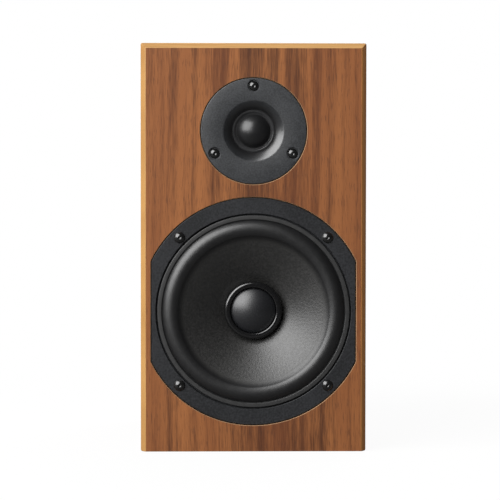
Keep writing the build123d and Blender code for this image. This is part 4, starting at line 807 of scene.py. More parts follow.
# %% Make the edging strips
NOSE, RUBBED, BACK_RUBBED = 0.6, 1.4, 0.3
TURN_STEPS, MITRE_STEPS = 5, 4
strip_section = rounded([
    (0, 0, 0), (NOSE, 0, RUBBED), (STRIP_LEG, STRIP_LEG - NOSE, BACK_RUBBED),
    (STRIP_LEG, STRIP_LEG, 0), (0, STRIP_LEG, 0),
], 5)


def corner_turn(turn):
    """How far a strip may reach across and up where its end has turned so far round a corner."""
    return STRIP_LEG - EASE * (1 - cos(turn)), STRIP_LEG - EASE * (1 - sin(turn))


def strip_end(turn):
    """One loop of a mitred end, with the corner's turn taken off it."""
    across, up = corner_turn(turn)
    return [(face[0] + min(out, across), depth, face[1] + min(out, up)) for out, depth in strip_section]


def on_side(side, loop):
    """A loop of a strip, drawn for the right, on the left (-1) or right (1) side of the front."""
    return from_place((0, FRONT, 0), [(side * x, depth, z) for x, depth, z in loop])


def side_strip(side):
    """Upright strip on the left (-1) or right (1) edge, from its foot to its mitre."""
    loops = []
    for turn in np.linspace(pi / 2, 0, TURN_STEPS):
        reach, foot = corner_turn(turn)[0], EASE * (1 - sin(turn))
        loops.append([(face[0] + min(out, reach), depth, foot) for out, depth in strip_section])
    loops += [strip_end(turn) for turn in np.linspace(0, pi / 4, MITRE_STEPS)]
    return [on_side(side, loop) for loop in loops]


def top_strip():
    """Strip along the top edge, mitred at both ends."""
    ends = [strip_end(turn) for turn in np.linspace(pi / 2, pi / 4, MITRE_STEPS)]
    left, right = ([on_side(side, loop) for loop in ends] for side in (-1, 1))
    return left[::-1] + right


for node, loops, finish in (
    ("left_edging", side_strip(-1), honey_left),
    ("right_edging", side_strip(1), honey_right_painted_shade),
    ("top_edging", top_strip(), honey_top),
):
    piece(skin("Rubbed_" + node, loops, caps=True), node, finish=finish)
print("strips rubbed to a round of", RUBBED, "mm")

# %% [markdown]
# ## The woofer's cone
#
# The cone is a thin moulding that swells a little between its neck and its edge, which spreads the
# light over it. A straight cone would look like a funnel. The curve is an arc through the neck, a
# point pushed out from halfway, and the edge, and the back of the cone is the same arc set back by
# the wall.

# %% Make the cone
CONE = "woofer_cone_assembly"
CONE_RADIUS, CONE_NECK, CONE_WALL, CONE_BULGE = radius_of("woofer_cone"), 16.35, 1.02, 1.4
CONE_EDGE, cone_back = depths("woofer_cone")
edge, neck = np.array([CONE_RADIUS, CONE_EDGE]), np.array([CONE_NECK, cone_back - CONE_WALL])
swell = np.array([edge[1] - neck[1], neck[0] - edge[0]]) * CONE_BULGE / np.linalg.norm(neck - edge)
cone_line = arc(neck, (edge + neck) / 2 + swell, edge, 48)


def cone_face(radius):
    """Depth of the cone's face at a radius."""
    return np.interp(radius, *zip(*cone_line))


cone = [*cone_line, *((r, depth + CONE_WALL) for r, depth in reversed(cone_line))]
piece(turned("SmoothCone", cone, WOOFER), "woofer_cone", CONE)
print("cone of", round(2 * CONE_RADIUS, 1), "mm")

# %% [markdown]
# ## The dust cap and its ring
#
# A domed cap closes the middle of the cone, and a glossy ring stands round it. Both are glued to the
# cone, so their feet follow its face. A scaled sphere would make the cap, but `crowned` draws the
# crown, the foot and the lining of a shell as one outline to turn, and serves the tweeter's dome too.

# %% Make the cap and the ring
GLUE = 0.05  # glue between pieces that are stuck together
CAP_RISE, CAP_WALL, CROWN_STEPS = 6.0, 0.8, 25
RING_GAP, RING_INNER_ROUND, RING_OUTER_ROUND = 0.5, 1.2, 2.4


def crowned(radius, wall, top, rise, foot):
    """Outline of a domed shell whose crown lies on a ball; foot gives its depth at a radius."""
    ball = (radius**2 + rise**2) / (2 * rise)
    inside = radius - wall
    shares = np.linspace(0, 1, CROWN_STEPS)

    def depth(r):
        return top + ball - np.sqrt(ball**2 - r**2)

    crown = [(r, depth(r)) for r in shares * radius]
    lining = [(r, depth(r) + wall) for r in shares[::-1] * inside]
    return [*crown, (radius, foot(radius)), (inside, foot(inside)), *lining]


def on_cone(radius):
    """Depth of a foot that is glued to the cone."""
    return cone_face(radius) - GLUE


CAP_RADIUS, CAP_TOP = radius_of("woofer_dust_cap"), depths("woofer_dust_cap")[0]
cap = crowned(CAP_RADIUS, CAP_WALL, CAP_TOP, CAP_RISE, on_cone)
cool_black = grained("CapPlastic", (16, 17, 20), (24, 25, 29), 0.8, 0.4, 0.014, **GLOSSY)
piece(turned("DustCap", cap, WOOFER, 120), "woofer_dust_cap", CONE, cool_black)

RING_INNER, RING_OUTER = CAP_RADIUS + RING_GAP, radius_of("woofer_cap_ring")
ring_front = depths("woofer_cap_ring")[0]
ring = rounded([
    (RING_INNER, ring_front, RING_INNER_ROUND), (RING_OUTER, ring_front, RING_OUTER_ROUND),
    (RING_OUTER, on_cone(RING_OUTER), 0), (RING_INNER, on_cone(RING_INNER), 0),
], 10)
piece(turned("GlossyRing", ring, WOOFER), "woofer_cap_ring", CONE)
print("cap of", round(2 * CAP_RADIUS, 1), "mm in a ring of", round(2 * RING_OUTER, 1), "mm")

# %% [markdown]
# ## The rubber roll
#
# The cone hangs in a rubber half roll. The roll's inner lip is glued to the cone and its outer lip
# to the frame, so it bends when the cone moves. Bones or shape keys could bend it; here it is only
# set in place as it rests. Where the roll meets the cone, a rounded valley of rubber and glue hides
# the joint.

# %% Set a piece in place
def follow_radius(made):
    """Bake a piece's place into its mesh, where it rests."""
    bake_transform(made)


# %% Make the rubber roll
ROLL_INNER, ROLL_OUTER, ROLL_FOOT, ROLL_CREST, RUBBER = 58.2, 70.8, 1.2, 63.8, 0.9
LIP_INNER, LIP_FRONT, LIP_SEAT, LIP_ROUND, LIP_GAP = 71.7, 0.4, 1.7, 0.35, 0.3
GLUE_ROUND, GLUE_EDGE, GLUE_BED = 2.4, 0.03, 0.02  # the valley's reach, its edge and its underside
MEETS_WITHIN = 3  # the roll meets the cone this close to the cone's edge
LIP_OUTER = radius_of("woofer_surround") - LIP_GAP
roll_top = depths("woofer_surround")[0]
roll_rise = ROLL_FOOT - roll_top
roll_bend = ((ROLL_OUTER - ROLL_CREST) ** 2 + roll_rise**2) / (2 * roll_rise)


def roll_depth(radius, inset=0.0):
    """Depth of the roll's section at a radius, so far behind its front."""
    return roll_top + roll_bend - np.sqrt((roll_bend - inset) ** 2 - (radius - ROLL_CREST) ** 2)


def roll_line(first, last, inset=0.0):
    """Points along the roll's section between two radii."""
    return [(r, roll_depth(r, inset)) for r in np.linspace(first, last, 40)]


near_edge = np.linspace(CONE_RADIUS - MEETS_WITHIN, CONE_RADIUS, 300)
meeting = near_edge[np.argmin(np.abs(roll_depth(near_edge) - cone_face(near_edge)))]
on_roll, below = meeting + GLUE_ROUND, meeting - GLUE_ROUND
first = np.array([on_roll, roll_depth(on_roll)])
pull = np.array([meeting, cone_face(meeting)])
last = np.array([below, cone_face(below) - GLUE_EDGE])
shares = np.linspace(0, 1, 12)
valley = [tuple((1 - t) ** 2 * first + 2 * t * (1 - t) * pull + t * t * last) for t in shares]
outer_lip = rounded([
    (LIP_OUTER, LIP_SEAT, 0), (LIP_OUTER, LIP_FRONT, LIP_ROUND),
    (LIP_INNER, LIP_FRONT, LIP_ROUND), (ROLL_OUTER, ROLL_FOOT, 0),
])[:-1]
roll = [
    *outer_lip, *roll_line(ROLL_OUTER, on_roll)[:-1], *valley,
    (meeting, cone_face(meeting) - GLUE_BED), (CONE_RADIUS, CONE_EDGE - GLUE),
    *roll_line(ROLL_INNER + RUBBER, ROLL_OUTER - RUBBER, RUBBER), (ROLL_OUTER - RUBBER, LIP_SEAT),
]
surround = placed(turned("RubberRoll", roll, WOOFER, 200), "woofer_surround")
follow_radius(surround)
print("the roll meets the cone at a radius of", round(meeting, 1), "mm")

# %% [markdown]
# ## The spider and the braids
#
# Behind the cone, a corrugated cloth ring keeps the coil in its gap, and two braids carry the current
# to it. The spider's waves are one sine, with the cloth's thickness behind it, so no Displace modifier
# is needed. The braids keep the mesh of their solid.

# %% Make the spider and the braids
SPIDER_INNER, SPIDER_COLLAR, SPIDER_LEDGE, SPIDER_OUTER, CLOTH = 16.6, 19.1, 42.7, 48.0, 0.7
SPIDER_WAVES, SPIDER_SWING, SPIDER_GLUED = 5, 0.8, 2
spider_front = depths("woofer_spider")[1] - SPIDER_SWING - CLOTH
waves = []
for share in np.linspace(0, 1, 81):
    radius = SPIDER_COLLAR + share * (SPIDER_LEDGE - SPIDER_COLLAR)
    waves.append((radius, SPIDER_SWING * sin(2 * pi * SPIDER_WAVES * share)))
cloth = [(r, spider_front + d) for r, d in ((SPIDER_INNER, 0), *waves, (SPIDER_OUTER, 0))]
cloth += [(r, depth + CLOTH) for r, depth in reversed(cloth)]
spider = placed(turned("WovenSpider", cloth, WOOFER, 120), "woofer_spider")
follow_radius(spider)

braid = closed(frame["nodes"]["woofer_tinsel_leads"].data.copy())
braid.name = "TinselBraid"
braids = placed(braid, "woofer_tinsel_leads")
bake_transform(braids)
print("a spider with", SPIDER_WAVES, "waves and two braids bend with the cone")

# %% [markdown]
# ## The tweeter's plate
#
# A textured plate carries a small soft dome. The plate dips towards the dome in a flare, and three
# screws sit in counterbores. The plate is turned, with arcs for the flare and for the slight dip that
# leads into it. The counterbores are cut afterwards, because they break its round form.

# %% Make the plate
PLATE_RADIUS, PLATE_DEPTH, PLATE_ROUND = radius_of("tweeter_faceplate"), 4.0, 0.5
DISH, DISH_DEPTH, THROAT, DIP, DIP_WIDTH = 23.4, 4.8, 16.9, 0.4, 9.0
FLARE_HALFWAY = (19.98, 2.35)
CLAMP_FACE, CLAMP_BACK, CLAMP_RADIUS, COLLAR = 5.6, 6.8, 24.35, 27.75
SCREW_CIRCLE, BORE_RADIUS, BORE_DEPTH, BORE_EASE = 34.9, 4.65, 1.4, 0.35
TWEETER_SCREWS, TWEETER_TURN = 3, 90
flare = arc((THROAT, DISH_DEPTH), FLARE_HALFWAY, (DISH, DIP), 24)
dip = arc((DISH, DIP), (DISH + DIP_WIDTH / 2, DIP / 4), (DISH + DIP_WIDTH, 0), 12)
rim = [(DISH, 0, 0), (PLATE_RADIUS, 0, PLATE_ROUND), (PLATE_RADIUS, PLATE_DEPTH, 0)]
plate = [
    *flare, *dip[1:], *rounded(rim, 5)[1:], (COLLAR, PLATE_DEPTH), (COLLAR, CLAMP_BACK),
    (CLAMP_RADIUS, CLAMP_BACK), (CLAMP_RADIUS, CLAMP_FACE), (THROAT, CLAMP_FACE),
]
bore = [
    (0, -PAST), (BORE_RADIUS + BORE_EASE, -PAST), (BORE_RADIUS + BORE_EASE, 0),
    (BORE_RADIUS, BORE_EASE), (BORE_RADIUS, BORE_DEPTH), (0, BORE_DEPTH),
]
bores = []
for step in range(TWEETER_SCREWS):
    turn = radians(TWEETER_TURN + 360 / TWEETER_SCREWS * step)
    centre = TWEETER + Vector((cos(turn), 0, sin(turn))) * SCREW_CIRCLE * MM
    bores.append(turned("Counterbore", bore, centre, 48))
piece(cut(turned("TweeterPlate", plate, TWEETER, 200), *bores), "tweeter_faceplate")
print("plate of", round(2 * PLATE_RADIUS, 1), "mm with", len(bores), "counterbores")

# %% [markdown]
# ## The soft dome
#
# The dome is coated cloth, and at its foot the cloth runs on into a channel, the dome's hinge. The
# front faces of its outer bank get a second material, glossier and paler; the paler colour is a
# painted highlight, which shows as a pale ring.

# %% Make the dome
DOME = "tweeter_dome_assembly"
DOME_RADIUS, DOME_CLOTH = radius_of("tweeter_dome"), 0.4
DOME_TOP, DOME_FOOT = depths("tweeter_dome")
dome = crowned(DOME_RADIUS, DOME_CLOTH, DOME_TOP, DOME_FOOT - DOME_CLOTH - DOME_TOP, lambda r: DOME_FOOT)
piece(turned("SoftDome", dome, TWEETER, 120), "tweeter_dome", DOME)
print("dome of", round(2 * DOME_RADIUS, 1), "mm")

# %% Make the channel at its foot
DOME_LAP = 0.02
CHANNEL_FLOOR, BANK_TOP, BEAD_EDGE, CHANNEL_OUTER = 13.8, 15.2, 15.7, 16.6
FLOOR_ROUND, BANK_ROUND = 0.3, 0.5
CHANNEL_INNER = DOME_RADIUS - DOME_LAP
channel_top = depths("tweeter_surround")[0]
cloth = rounded([
    (CHANNEL_INNER, DOME_FOOT, 0), (CHANNEL_FLOOR, DOME_FOOT, FLOOR_ROUND),
    (BANK_TOP, channel_top, BANK_ROUND), (BEAD_EDGE, channel_top, 0), (CHANNEL_OUTER, channel_top, 0),
])[:-1]
channel = [
    *cloth, (CHANNEL_OUTER, channel_top), (CHANNEL_OUTER, CLAMP_FACE), (CLAMP_RADIUS, CLAMP_FACE),
    (CLAMP_RADIUS, CLAMP_BACK), (CHANNEL_OUTER, CLAMP_BACK),
    *((r, depth + DOME_CLOTH) for r, depth in reversed(cloth)),
]
hinge = placed(turned("DomeRoll", channel, TWEETER, 160), "tweeter_surround")
# The bank's front faces get a paler, glossier second material; its paler colour is a painted highlight.
hinge.data.materials.append(woven("CoatedBead", (48, 48, 49), (58, 58, 59), 0.35, 0.14, 0.002))
for flat in hinge.data.polygons:
    radius = (flat.center - TWEETER).xz.length / MM
    flat.material_index = int(CHANNEL_FLOOR < radius < BEAD_EDGE and flat.normal.y < 0)
follow_radius(hinge)
print("a channel of", round(CHANNEL_OUTER - CHANNEL_INNER, 1), "mm round the dome")

# %% [markdown]
# ## Two kinds of screw
#
# The drivers are held by domed screws with six-sided sockets, and the terminal cup by countersunk
# ones with crossed slots. Only one of each is modelled, head up, with its seat or its face at
# zero. The domed head is a grid whose inner loops are hexagons that open into circles. The crossed
# slots are cut.

# %% Model the domed screw
SCREW_STEPS = 48


def domed_screw(name, radius, height, shank, length):
    """Domed screw with a drilled, six-sided socket, in millimetres."""
    edge, flats, socket, drilled, bevel, bevel_width = 0.4, 2.5, 1.5, 0.7, 0.12, 0.1
    angle = np.arange(SCREW_STEPS) * 2 * pi / SCREW_STEPS
    hexagon = flats / 2 / np.cos((angle + pi / 6) % (pi / 3) - pi / 6)
    level = np.ones(SCREW_STEPS)
    ball = (radius**2 + (height - edge) ** 2) / (2 * (height - edge))

    def dome(r):
        return height - ball + np.sqrt(ball**2 - np.minimum(r, radius) ** 2)

    floor = height - socket
    loops = [(hexagon * 0, level * floor - drilled), (hexagon, level * floor)]
    loops.append((hexagon, dome(hexagon) - bevel))
    for share in np.linspace(0, 1, 10):
        spread = (hexagon + bevel_width) * (1 - share) + (radius - bevel) * share
        loops.append((spread, dome(spread)))
    for r, z in ((radius, edge), (radius, 0), (shank, 0), (shank, -length), (0, -length)):
        loops.append((level * r, level * z))
    rows = [np.stack([r * np.cos(angle), r * np.sin(angle), z], -1) * MM for r, z in loops]
    return skin(name, rows)


woofer_screw = domed_screw("WooferScrew", radius=4.3, height=2.5, shank=2.1, length=18)
tweeter_screw = domed_screw("TweeterScrew", radius=3.8, height=2.2, shank=1.75, length=14)
print("domed screws:", woofer_screw.name, "and", tweeter_screw.name)

# %% Model the countersunk screw
SINK_RIM = 0.15


def flat_screw(name, radius, head, shank, length):
    """Countersunk screw with crossed slots, in millimetres."""
    slot_long, slot_wide, slot_round, slot_floor, above = 1.6, 0.4, 0.2, -0.8, 0.5
    outline = [
        (0, 0), (radius - SINK_RIM, 0), (radius, SINK_RIM), (shank, head), (shank, length), (0, length),
    ]
    mesh = turned(name, outline, (0, 0, 0), SCREW_STEPS)
    for vertex in mesh.vertices:
        vertex.co = (vertex.co.x, vertex.co.z, -vertex.co.y)
    slots = []
    for x, y in ((slot_long, slot_wide), (slot_wide, slot_long)):
        outline = rectangle((-x, -y), (x, y), slot_round, 3)
        loops = [[(px * MM, py * MM, z * MM) for px, py in outline] for z in (slot_floor, above)]
        slots.append(skin("Slot", loops, caps=True))
    return cut(closed(mesh), *slots)


cup_screw = flat_screw("CupScrew", radius=3.4, head=1.9, shank=1.6, length=13)
print("countersunk screw:", cup_screw.name)

# %% [markdown]
# ## Screws laid out by geometry nodes
#
# A driver's screws stand on a circle, and the terminal cup's on a rectangle. Copies could be placed
# in a loop. A node tree keeps the count, the circle and the turn as inputs that can be changed at any
# time. It puts a copy on each place, turns the whole set to face its panel, and moves it there. The
# set is then made real, as one mesh.

# %% Build the two layouts
def layout_tree(kind, sizes):
    """Node tree that puts a screw on a circle or on the corners of a rectangle."""
    tree = bpy.data.node_groups.new("ScrewsOn" + kind, "GeometryNodeTree")
    common = {"Screw": "Object", "Turn": "Float", "Facing": "Float", "Centre": "Vector"}
    for label, sort in {**sizes, **common, "Finish": "Material"}.items():
        tree.interface.new_socket(label, in_out="INPUT", socket_type="NodeSocket" + sort)
    tree.interface.new_socket("Screws", in_out="OUTPUT", socket_type="NodeSocketGeometry")
    given = {socket.name: Wire(socket) for socket in tree.nodes.new("NodeGroupInput").outputs}
    add = given["Screw"].node
    if kind == "Circle":
        inputs = {"Vertices": given["Count"], "Radius": given["Radius"]}
        places = add("GeometryNodeMeshCircle", inputs=inputs)
    else:
        inputs = {"Size X": given["Width"], "Size Y": given["Height"]}
        places = add("GeometryNodeMeshGrid", inputs={**inputs, "Vertices X": 2, "Vertices Y": 2})
    screw = add("GeometryNodeObjectInfo", inputs={"Object": given["Screw"]}, out="Geometry")
    rows = add("GeometryNodeInstanceOnPoints", inputs={"Points": places, "Instance": screw})
    spin = add("ShaderNodeCombineXYZ", inputs={2: given["Turn"]})
    lean = add("ShaderNodeCombineXYZ", inputs={0: given["Facing"]})
    rows = add("GeometryNodeTransform", inputs={"Geometry": rows, "Rotation": spin})
    inputs = {"Geometry": rows, "Rotation": lean, "Translation": given["Centre"]}
    rows = add("GeometryNodeTransform", inputs=inputs)
    real = add("GeometryNodeRealizeInstances", inputs={"Geometry": rows})
    done = add("GeometryNodeSetMaterial", inputs={"Geometry": real, "Material": given["Finish"]})
    tree.links.new(done.socket, tree.nodes.new("NodeGroupOutput").inputs[0])
    return tree


on_circle = layout_tree("Circle", {"Count": "Int", "Radius": "Float"})
on_corners = layout_tree("Corners", {"Width": "Float", "Height": "Float"})
print("layouts:", on_circle.name, "and", on_corners.name)

# %% Lay out the screws
TO_FRONT, TO_BACK = pi / 2, -pi / 2
WOOFER_SCREWS, WOOFER_CIRCLE, WOOFER_TURN = 4, 81.2, 45
CUP_SCREWS = (76, 52)  # spacing across and up
TRIM = (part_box("terminal_cup")[1].y - BACK) / MM
CUP = Vector((0, BACK + TRIM * MM, middle("terminal_cup").z))


def lay_out(name, screw, tree, **values):
    """Mesh of all the screws that a layout makes."""
    stock = into_scene(screw.name, screw)
    carrier = into_scene(name, bpy.data.meshes.new(name))
    layout = carrier.modifiers.new("Layout", "NODES")
    layout.node_group = tree
    values |= {"Screw": stock, "Finish": finishes["black_screw"]}
    for socket in tree.interface.items_tree:
        if socket.in_out == "INPUT":
            layout[socket.identifier] = values[socket.name]
    return worked_out(carrier, stock)


woofer_set = lay_out(
    "WooferScrews", woofer_screw, on_circle, Count=WOOFER_SCREWS, Radius=WOOFER_CIRCLE * MM,
    Turn=radians(WOOFER_TURN), Facing=TO_FRONT, Centre=WOOFER,
)
piece(woofer_set, "woofer_screws")
tweeter_set = lay_out(
    "TweeterScrews", tweeter_screw, on_circle, Count=TWEETER_SCREWS, Radius=SCREW_CIRCLE * MM,
    Turn=radians(TWEETER_TURN), Facing=TO_FRONT, Centre=TWEETER + Vector((0, BORE_DEPTH * MM, 0)),
)
piece(tweeter_set, "tweeter_screws")
cup_set = lay_out(
    "CupScrews", cup_screw, on_corners, Width=CUP_SCREWS[0] * MM, Height=CUP_SCREWS[1] * MM,
    Turn=0.0, Facing=TO_BACK, Centre=CUP,
)
piece(cup_set, "terminal_screws")
print("screws:", WOOFER_SCREWS, "on the woofer,", TWEETER_SCREWS, "on the tweeter, 4 on the cup")

# %% [markdown]
# ## The port
#
# A flared tube lets air out of the back. Its mouth is a quarter round that widens from the bore to the
# rim. The tube is turned from one outline: the bore, the flare, the rim's lip, and the outside back
# to the inner end.

# %% Make the port
PORT = Vector((0, BACK, middle("port_tube").z))
PORT_BORE, PORT_FLARE, PORT_RIM, PORT_LENGTH, PORT_WALL, PORT_NECK = 19, 12, 3, 110, 2.5, 25.56
PORT_ROUND = 0.8
mouth = PORT_BORE + PORT_FLARE
tube = PORT_BORE + PORT_WALL
flare_start = TRIM - PORT_FLARE
swing = PORT_FLARE * sin(pi / 4)
lip = [(mouth, TRIM, 0), (mouth + PORT_RIM, TRIM, PORT_ROUND), (mouth + PORT_RIM, 0, 0)]
port = [
    (PORT_BORE, -PORT_LENGTH),
    *arc((PORT_BORE, flare_start), (mouth - swing, flare_start + swing), (mouth, TRIM), 24),
    *rounded(lip)[1:], (PORT_NECK, 0), (PORT_NECK, flare_start),
    (tube, flare_start - PORT_NECK + tube), (tube, -PORT_LENGTH),
]
piece(turned("PortTube", port, PORT, 120), "port_tube")
print("port of", 2 * PORT_BORE, "mm")

# %% [markdown]
# ## The terminal cup
#
# The cup is a moulded tray with its rim on the panel. It could be a box with a hole in it and one
# bevel for all, but its edges have different rounds. A stack of rounded rectangles gives each edge its
# own: up the outside, over the rim and down into the recess. The screws' seats and the holes for the
# posts are cut.

# %% Make the cup
RECESS, RIM, CUP_DEPTH, CUP_FLOOR, CUP_WALL, CUP_CORNER = (32, 20), (44, 32), 24, 3, 2.5, 5
EDGE, EDGE_MID, FLOOR_EDGE, FLOOR_MID = 0.8, 0.25, 1, 0.3  # rounds, and the points halfway round them
SINK, SINK_EASE, SINK_HOLE, SINK_DEPTH, BUSH_HOLE = 3.6, 0.05, 1.75, 2, 4.45


def cup_loop(half, grow, depth):
    """Rounded rectangle about the cup's axis, at a depth below its rim's face."""
    x, z = half[0] + grow, half[1] + grow
    outline = rectangle((-x, -z), (x, z), max(CUP_CORNER + grow, 1), 8)
    return from_place(CUP, [(x, -depth, z) for x, z in outline])


deep = CUP_DEPTH + CUP_FLOOR
cup = [
    cup_loop(RECESS, CUP_WALL, deep), cup_loop(RECESS, CUP_WALL, TRIM),
    cup_loop(RIM, 0, TRIM), cup_loop(RIM, 0, EDGE), cup_loop(RIM, -EDGE_MID, EDGE_MID),
    cup_loop(RIM, -EDGE, 0), cup_loop(RECESS, EDGE, 0), cup_loop(RECESS, EDGE_MID, EDGE_MID),
    cup_loop(RECESS, 0, EDGE), cup_loop(RECESS, 0, CUP_DEPTH - FLOOR_EDGE),
    cup_loop(RECESS, -FLOOR_MID, CUP_DEPTH - FLOOR_MID), cup_loop(RECESS, -FLOOR_EDGE, CUP_DEPTH),
]
sink = [
    (0, PAST), (SINK, PAST), (SINK, 0), (SINK - SINK_EASE, -SINK_RIM), (SINK_HOLE, -SINK_DEPTH),
    (SINK_HOLE, -2 * SINK_DEPTH), (0, -2 * SINK_DEPTH),
]
sinks = []
for x in (-1, 1):
    for z in (-1, 1):
        place = CUP + Vector((x * CUP_SCREWS[0], 0, z * CUP_SCREWS[1])) * MM / 2
        sinks.append(turned("Sink", sink, place, 40))
posts = {colour: middle(colour + "_post_bush") for colour in ("red", "black")}
hole = [
    (0, -deep - PAST), (BUSH_HOLE, -deep - PAST), (BUSH_HOLE, -CUP_DEPTH + PAST), (0, -CUP_DEPTH + PAST),
]
for post in posts.values():
    sinks.append(turned("BushHole", hole, (post.x, CUP.y, post.z), 40))
piece(cut(skin("TerminalCup", cup, caps=True), *sinks), "terminal_cup")
print("cup", 2 * RIM[0], "mm wide with", len(sinks), "holes")

# %% [markdown]
# ## The binding posts
#
# Each post has a coloured bush in the cup's floor, a plated washer and a fluted knob. The flutes give
# fingers a grip. They could be cut one by one, but a knob is still a stack of loops: circles at its
# foot and its rim, and fluted between.

# %% Make the knobs
FLOOR = CUP.y - CUP_DEPTH * MM
KNOB_RADIUS, KNOB_BORE, KNOB_FOOT, KNOB_TOP, KNOB_EASE = 6.5, 3.05, 4.7, 22.4, 0.4
FLUTES, FLUTE_DEPTH, FLUTE_WIDTH, FLUTE_STEPS = 14, 0.5, 0.78, 14
FLUTE_START, FLUTE_FULL, FLUTE_END = 6.8, 7.3, 21.8  # heights above the cup's floor
SHOULDER, CROWN, MOUTH, MOUTH_LIP = (6.35, 22.15), 6.0, (3.0, 2.6), 21.2


def knob(name, centre):
    """Fluted knob with an open end, its foot towards the cup's floor."""
    steps = FLUTES * FLUTE_STEPS
    angle = np.arange(steps) * 2 * pi / steps
    around = (angle * FLUTES / (2 * pi) % 1 - 0.5) * 2 * pi / FLUTES * KNOB_RADIUS
    flute = FLUTE_DEPTH * np.clip(1 - (around / FLUTE_WIDTH) ** 2, 0, 1)
    rows = [  # radius, height, share of the flute's depth
        (KNOB_BORE, KNOB_FOOT, 0), (KNOB_RADIUS - KNOB_EASE, KNOB_FOOT, 0),
        (KNOB_RADIUS, KNOB_FOOT + KNOB_EASE, 0), (KNOB_RADIUS, FLUTE_START, 0),
        (KNOB_RADIUS, FLUTE_FULL, 1), (KNOB_RADIUS, FLUTE_END, 1), (*SHOULDER, 1),
        (CROWN, KNOB_TOP, 0.8), (MOUTH[0], KNOB_TOP, 0), (MOUTH[1], KNOB_TOP - KNOB_EASE, 0),
        (MOUTH[1], MOUTH_LIP, 0), (KNOB_BORE, MOUTH_LIP, 0),
    ]
    loops = []
    for radius, height, share in rows:
        r = (radius - flute * share) * MM
        y = np.full(steps, FLOOR + height * MM)
        loops.append(np.stack([centre.x + r * np.cos(angle), y, centre.z + r * np.sin(angle)], -1))
    return skin(name, loops, ring=True)


print("a knob has", FLUTES, "flutes")

# %% Make the posts
BUSH_RADIUS, BUSH_BORE, BUSH_HEIGHT, BUSH_NECK = 5.6, 3.05, 2, 4.4
BUSH_ROUND, BUSH_BORE_ROUND = 0.5, 0.2
WASHER_BORE, WASHER_FOOT, WASHER_ROUND, WASHER_BORE_ROUND = 3.3, 3.5, 0.25, 0.15
bush = rounded([
    (BUSH_BORE, BUSH_HEIGHT, BUSH_BORE_ROUND), (BUSH_RADIUS, BUSH_HEIGHT, BUSH_ROUND),
    (BUSH_RADIUS, 0, 0), (BUSH_NECK, 0, 0), (BUSH_NECK, -CUP_FLOOR, 0), (BUSH_BORE, -CUP_FLOOR, 0),
], 4)
washer = rounded([
    (WASHER_BORE, WASHER_FOOT, WASHER_BORE_ROUND), (BUSH_RADIUS, WASHER_FOOT, WASHER_ROUND),
    (BUSH_RADIUS, KNOB_FOOT, WASHER_ROUND), (WASHER_BORE, KNOB_FOOT, WASHER_BORE_ROUND),
], 4)
for colour, centre in posts.items():
    base = Vector((centre.x, FLOOR, centre.z))
    piece(turned(colour + "_bush", bush, base, 64), colour + "_post_bush")
    piece(turned(colour + "_washer", washer, base, 64), colour + "_post_washer", colour + "_clamp")
    piece(knob(colour + "_knob", centre), colour + "_post_knob", colour + "_knob")
print(len(posts), "posts:", *posts)

# %% [markdown]
# ## Damping felt inside
#
# Soft felt lines the walls behind the drivers. A pad cut from it has soft, rounded edges. Cloth physics
# would hardly move so thick a sheet, so each pad is a stack of loops that narrow towards its two faces.

# %% Make the felt pads
FELT, FELT_MARGIN, FELT_CORNER = 12 * MM, 24 * MM, 9
FELT_EDGE = ((0, 6.0), (0.04, 2.5), (0.25, 0.4), (0.6, 0.0), (0.85, 0.9), (0.97, 3.0), (1, 7.0))


def pad_loops(low, high, thin):
    """Loops of a soft pad in a box, whose short side is the axis named."""
    first, second = (axis for axis in range(3) if axis != thin)
    loops = []
    for share, inset in FELT_EDGE:
        wide, tall = ((high[axis] - low[axis]) / 2 / MM - inset for axis in (first, second))
        loop = []
        for x, y in rectangle((-wide, -tall), (wide, tall), FELT_CORNER, 8):
            point = [0, 0, 0]
            point[thin] = low[thin] + share * (high[thin] - low[thin])
            point[first] = (low[first] + high[first]) / 2 + x * MM
            point[second] = (low[second] + high[second]) / 2 + y * MM
            loop.append(point)
        loops.append(loop)
    return loops


felt_low, felt_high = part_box("damping_sheets")
inner, y_low, y_high, z_low, z_high = felt_high.x, felt_low.y, felt_high.y, felt_low.z, felt_high.z
side_top, top_half = z_high - FELT_MARGIN, inner - FELT_MARGIN
pads = {
    "LeftFelt": ((-inner, y_low, z_low), (-inner + FELT, y_high, side_top), 0),
    "RightFelt": ((inner - FELT, y_low, z_low), (inner, y_high, side_top), 0),
    "TopFelt": ((-top_half, y_low, z_high - FELT), (top_half, y_high, z_high), 2),
}
for name, (low, high, thin) in pads.items():
    piece(skin(name, pad_loops(low, high, thin), caps=True), "damping_sheets")
print(len(pads), "felt pads")

# %% [markdown]
# ## Light
#
# The speaker stands in a white studio, lit by a soft box high on the left, a weaker one behind and a
# low fill all round. More fill would flatten the black parts. Rays from the camera see white behind
# the speaker, whatever the fill, and glossy surfaces mirror a studio that is dark in front and white
# behind.

# %% Light the studio
FILL, STUDIO_FRONT, STUDIO_FADE = 0.15, 0.05, (0.0, 0.6)
WHITE = (1, 1, 1, 1)


def ray_kinds(tree):
    """Wires that are 1 for rays from the camera, from glossy surfaces and through clear ones."""
    rays = tree.nodes.new("ShaderNodeLightPath")
    return [Wire(rays.outputs[f"Is {kind} Ray"]) for kind in ("Camera", "Glossy", "Transmission")]


world = bpy.data.worlds.new("Studio")
bpy.context.scene.world = world
world.use_nodes = True
studio = world.node_tree
camera_ray, glossy_ray, through_ray = ray_kinds(studio)
towards = Wire(studio.nodes.new("ShaderNodeTexCoord").outputs["Generated"]).parts()[1]
mirrored = STUDIO_FRONT + towards.between(*STUDIO_FADE) * (1 - STUDIO_FRONT)
seen = camera_ray.math("MAXIMUM", camera_ray, through_ray)
level = seen + (1 - seen) * (glossy_ray * mirrored + (1 - glossy_ray) * FILL)
sky = studio.nodes["Background"]
sky.inputs["Color"].default_value = WHITE
studio.links.new(level.socket, sky.inputs["Strength"])
print("studio with a fill of", FILL)

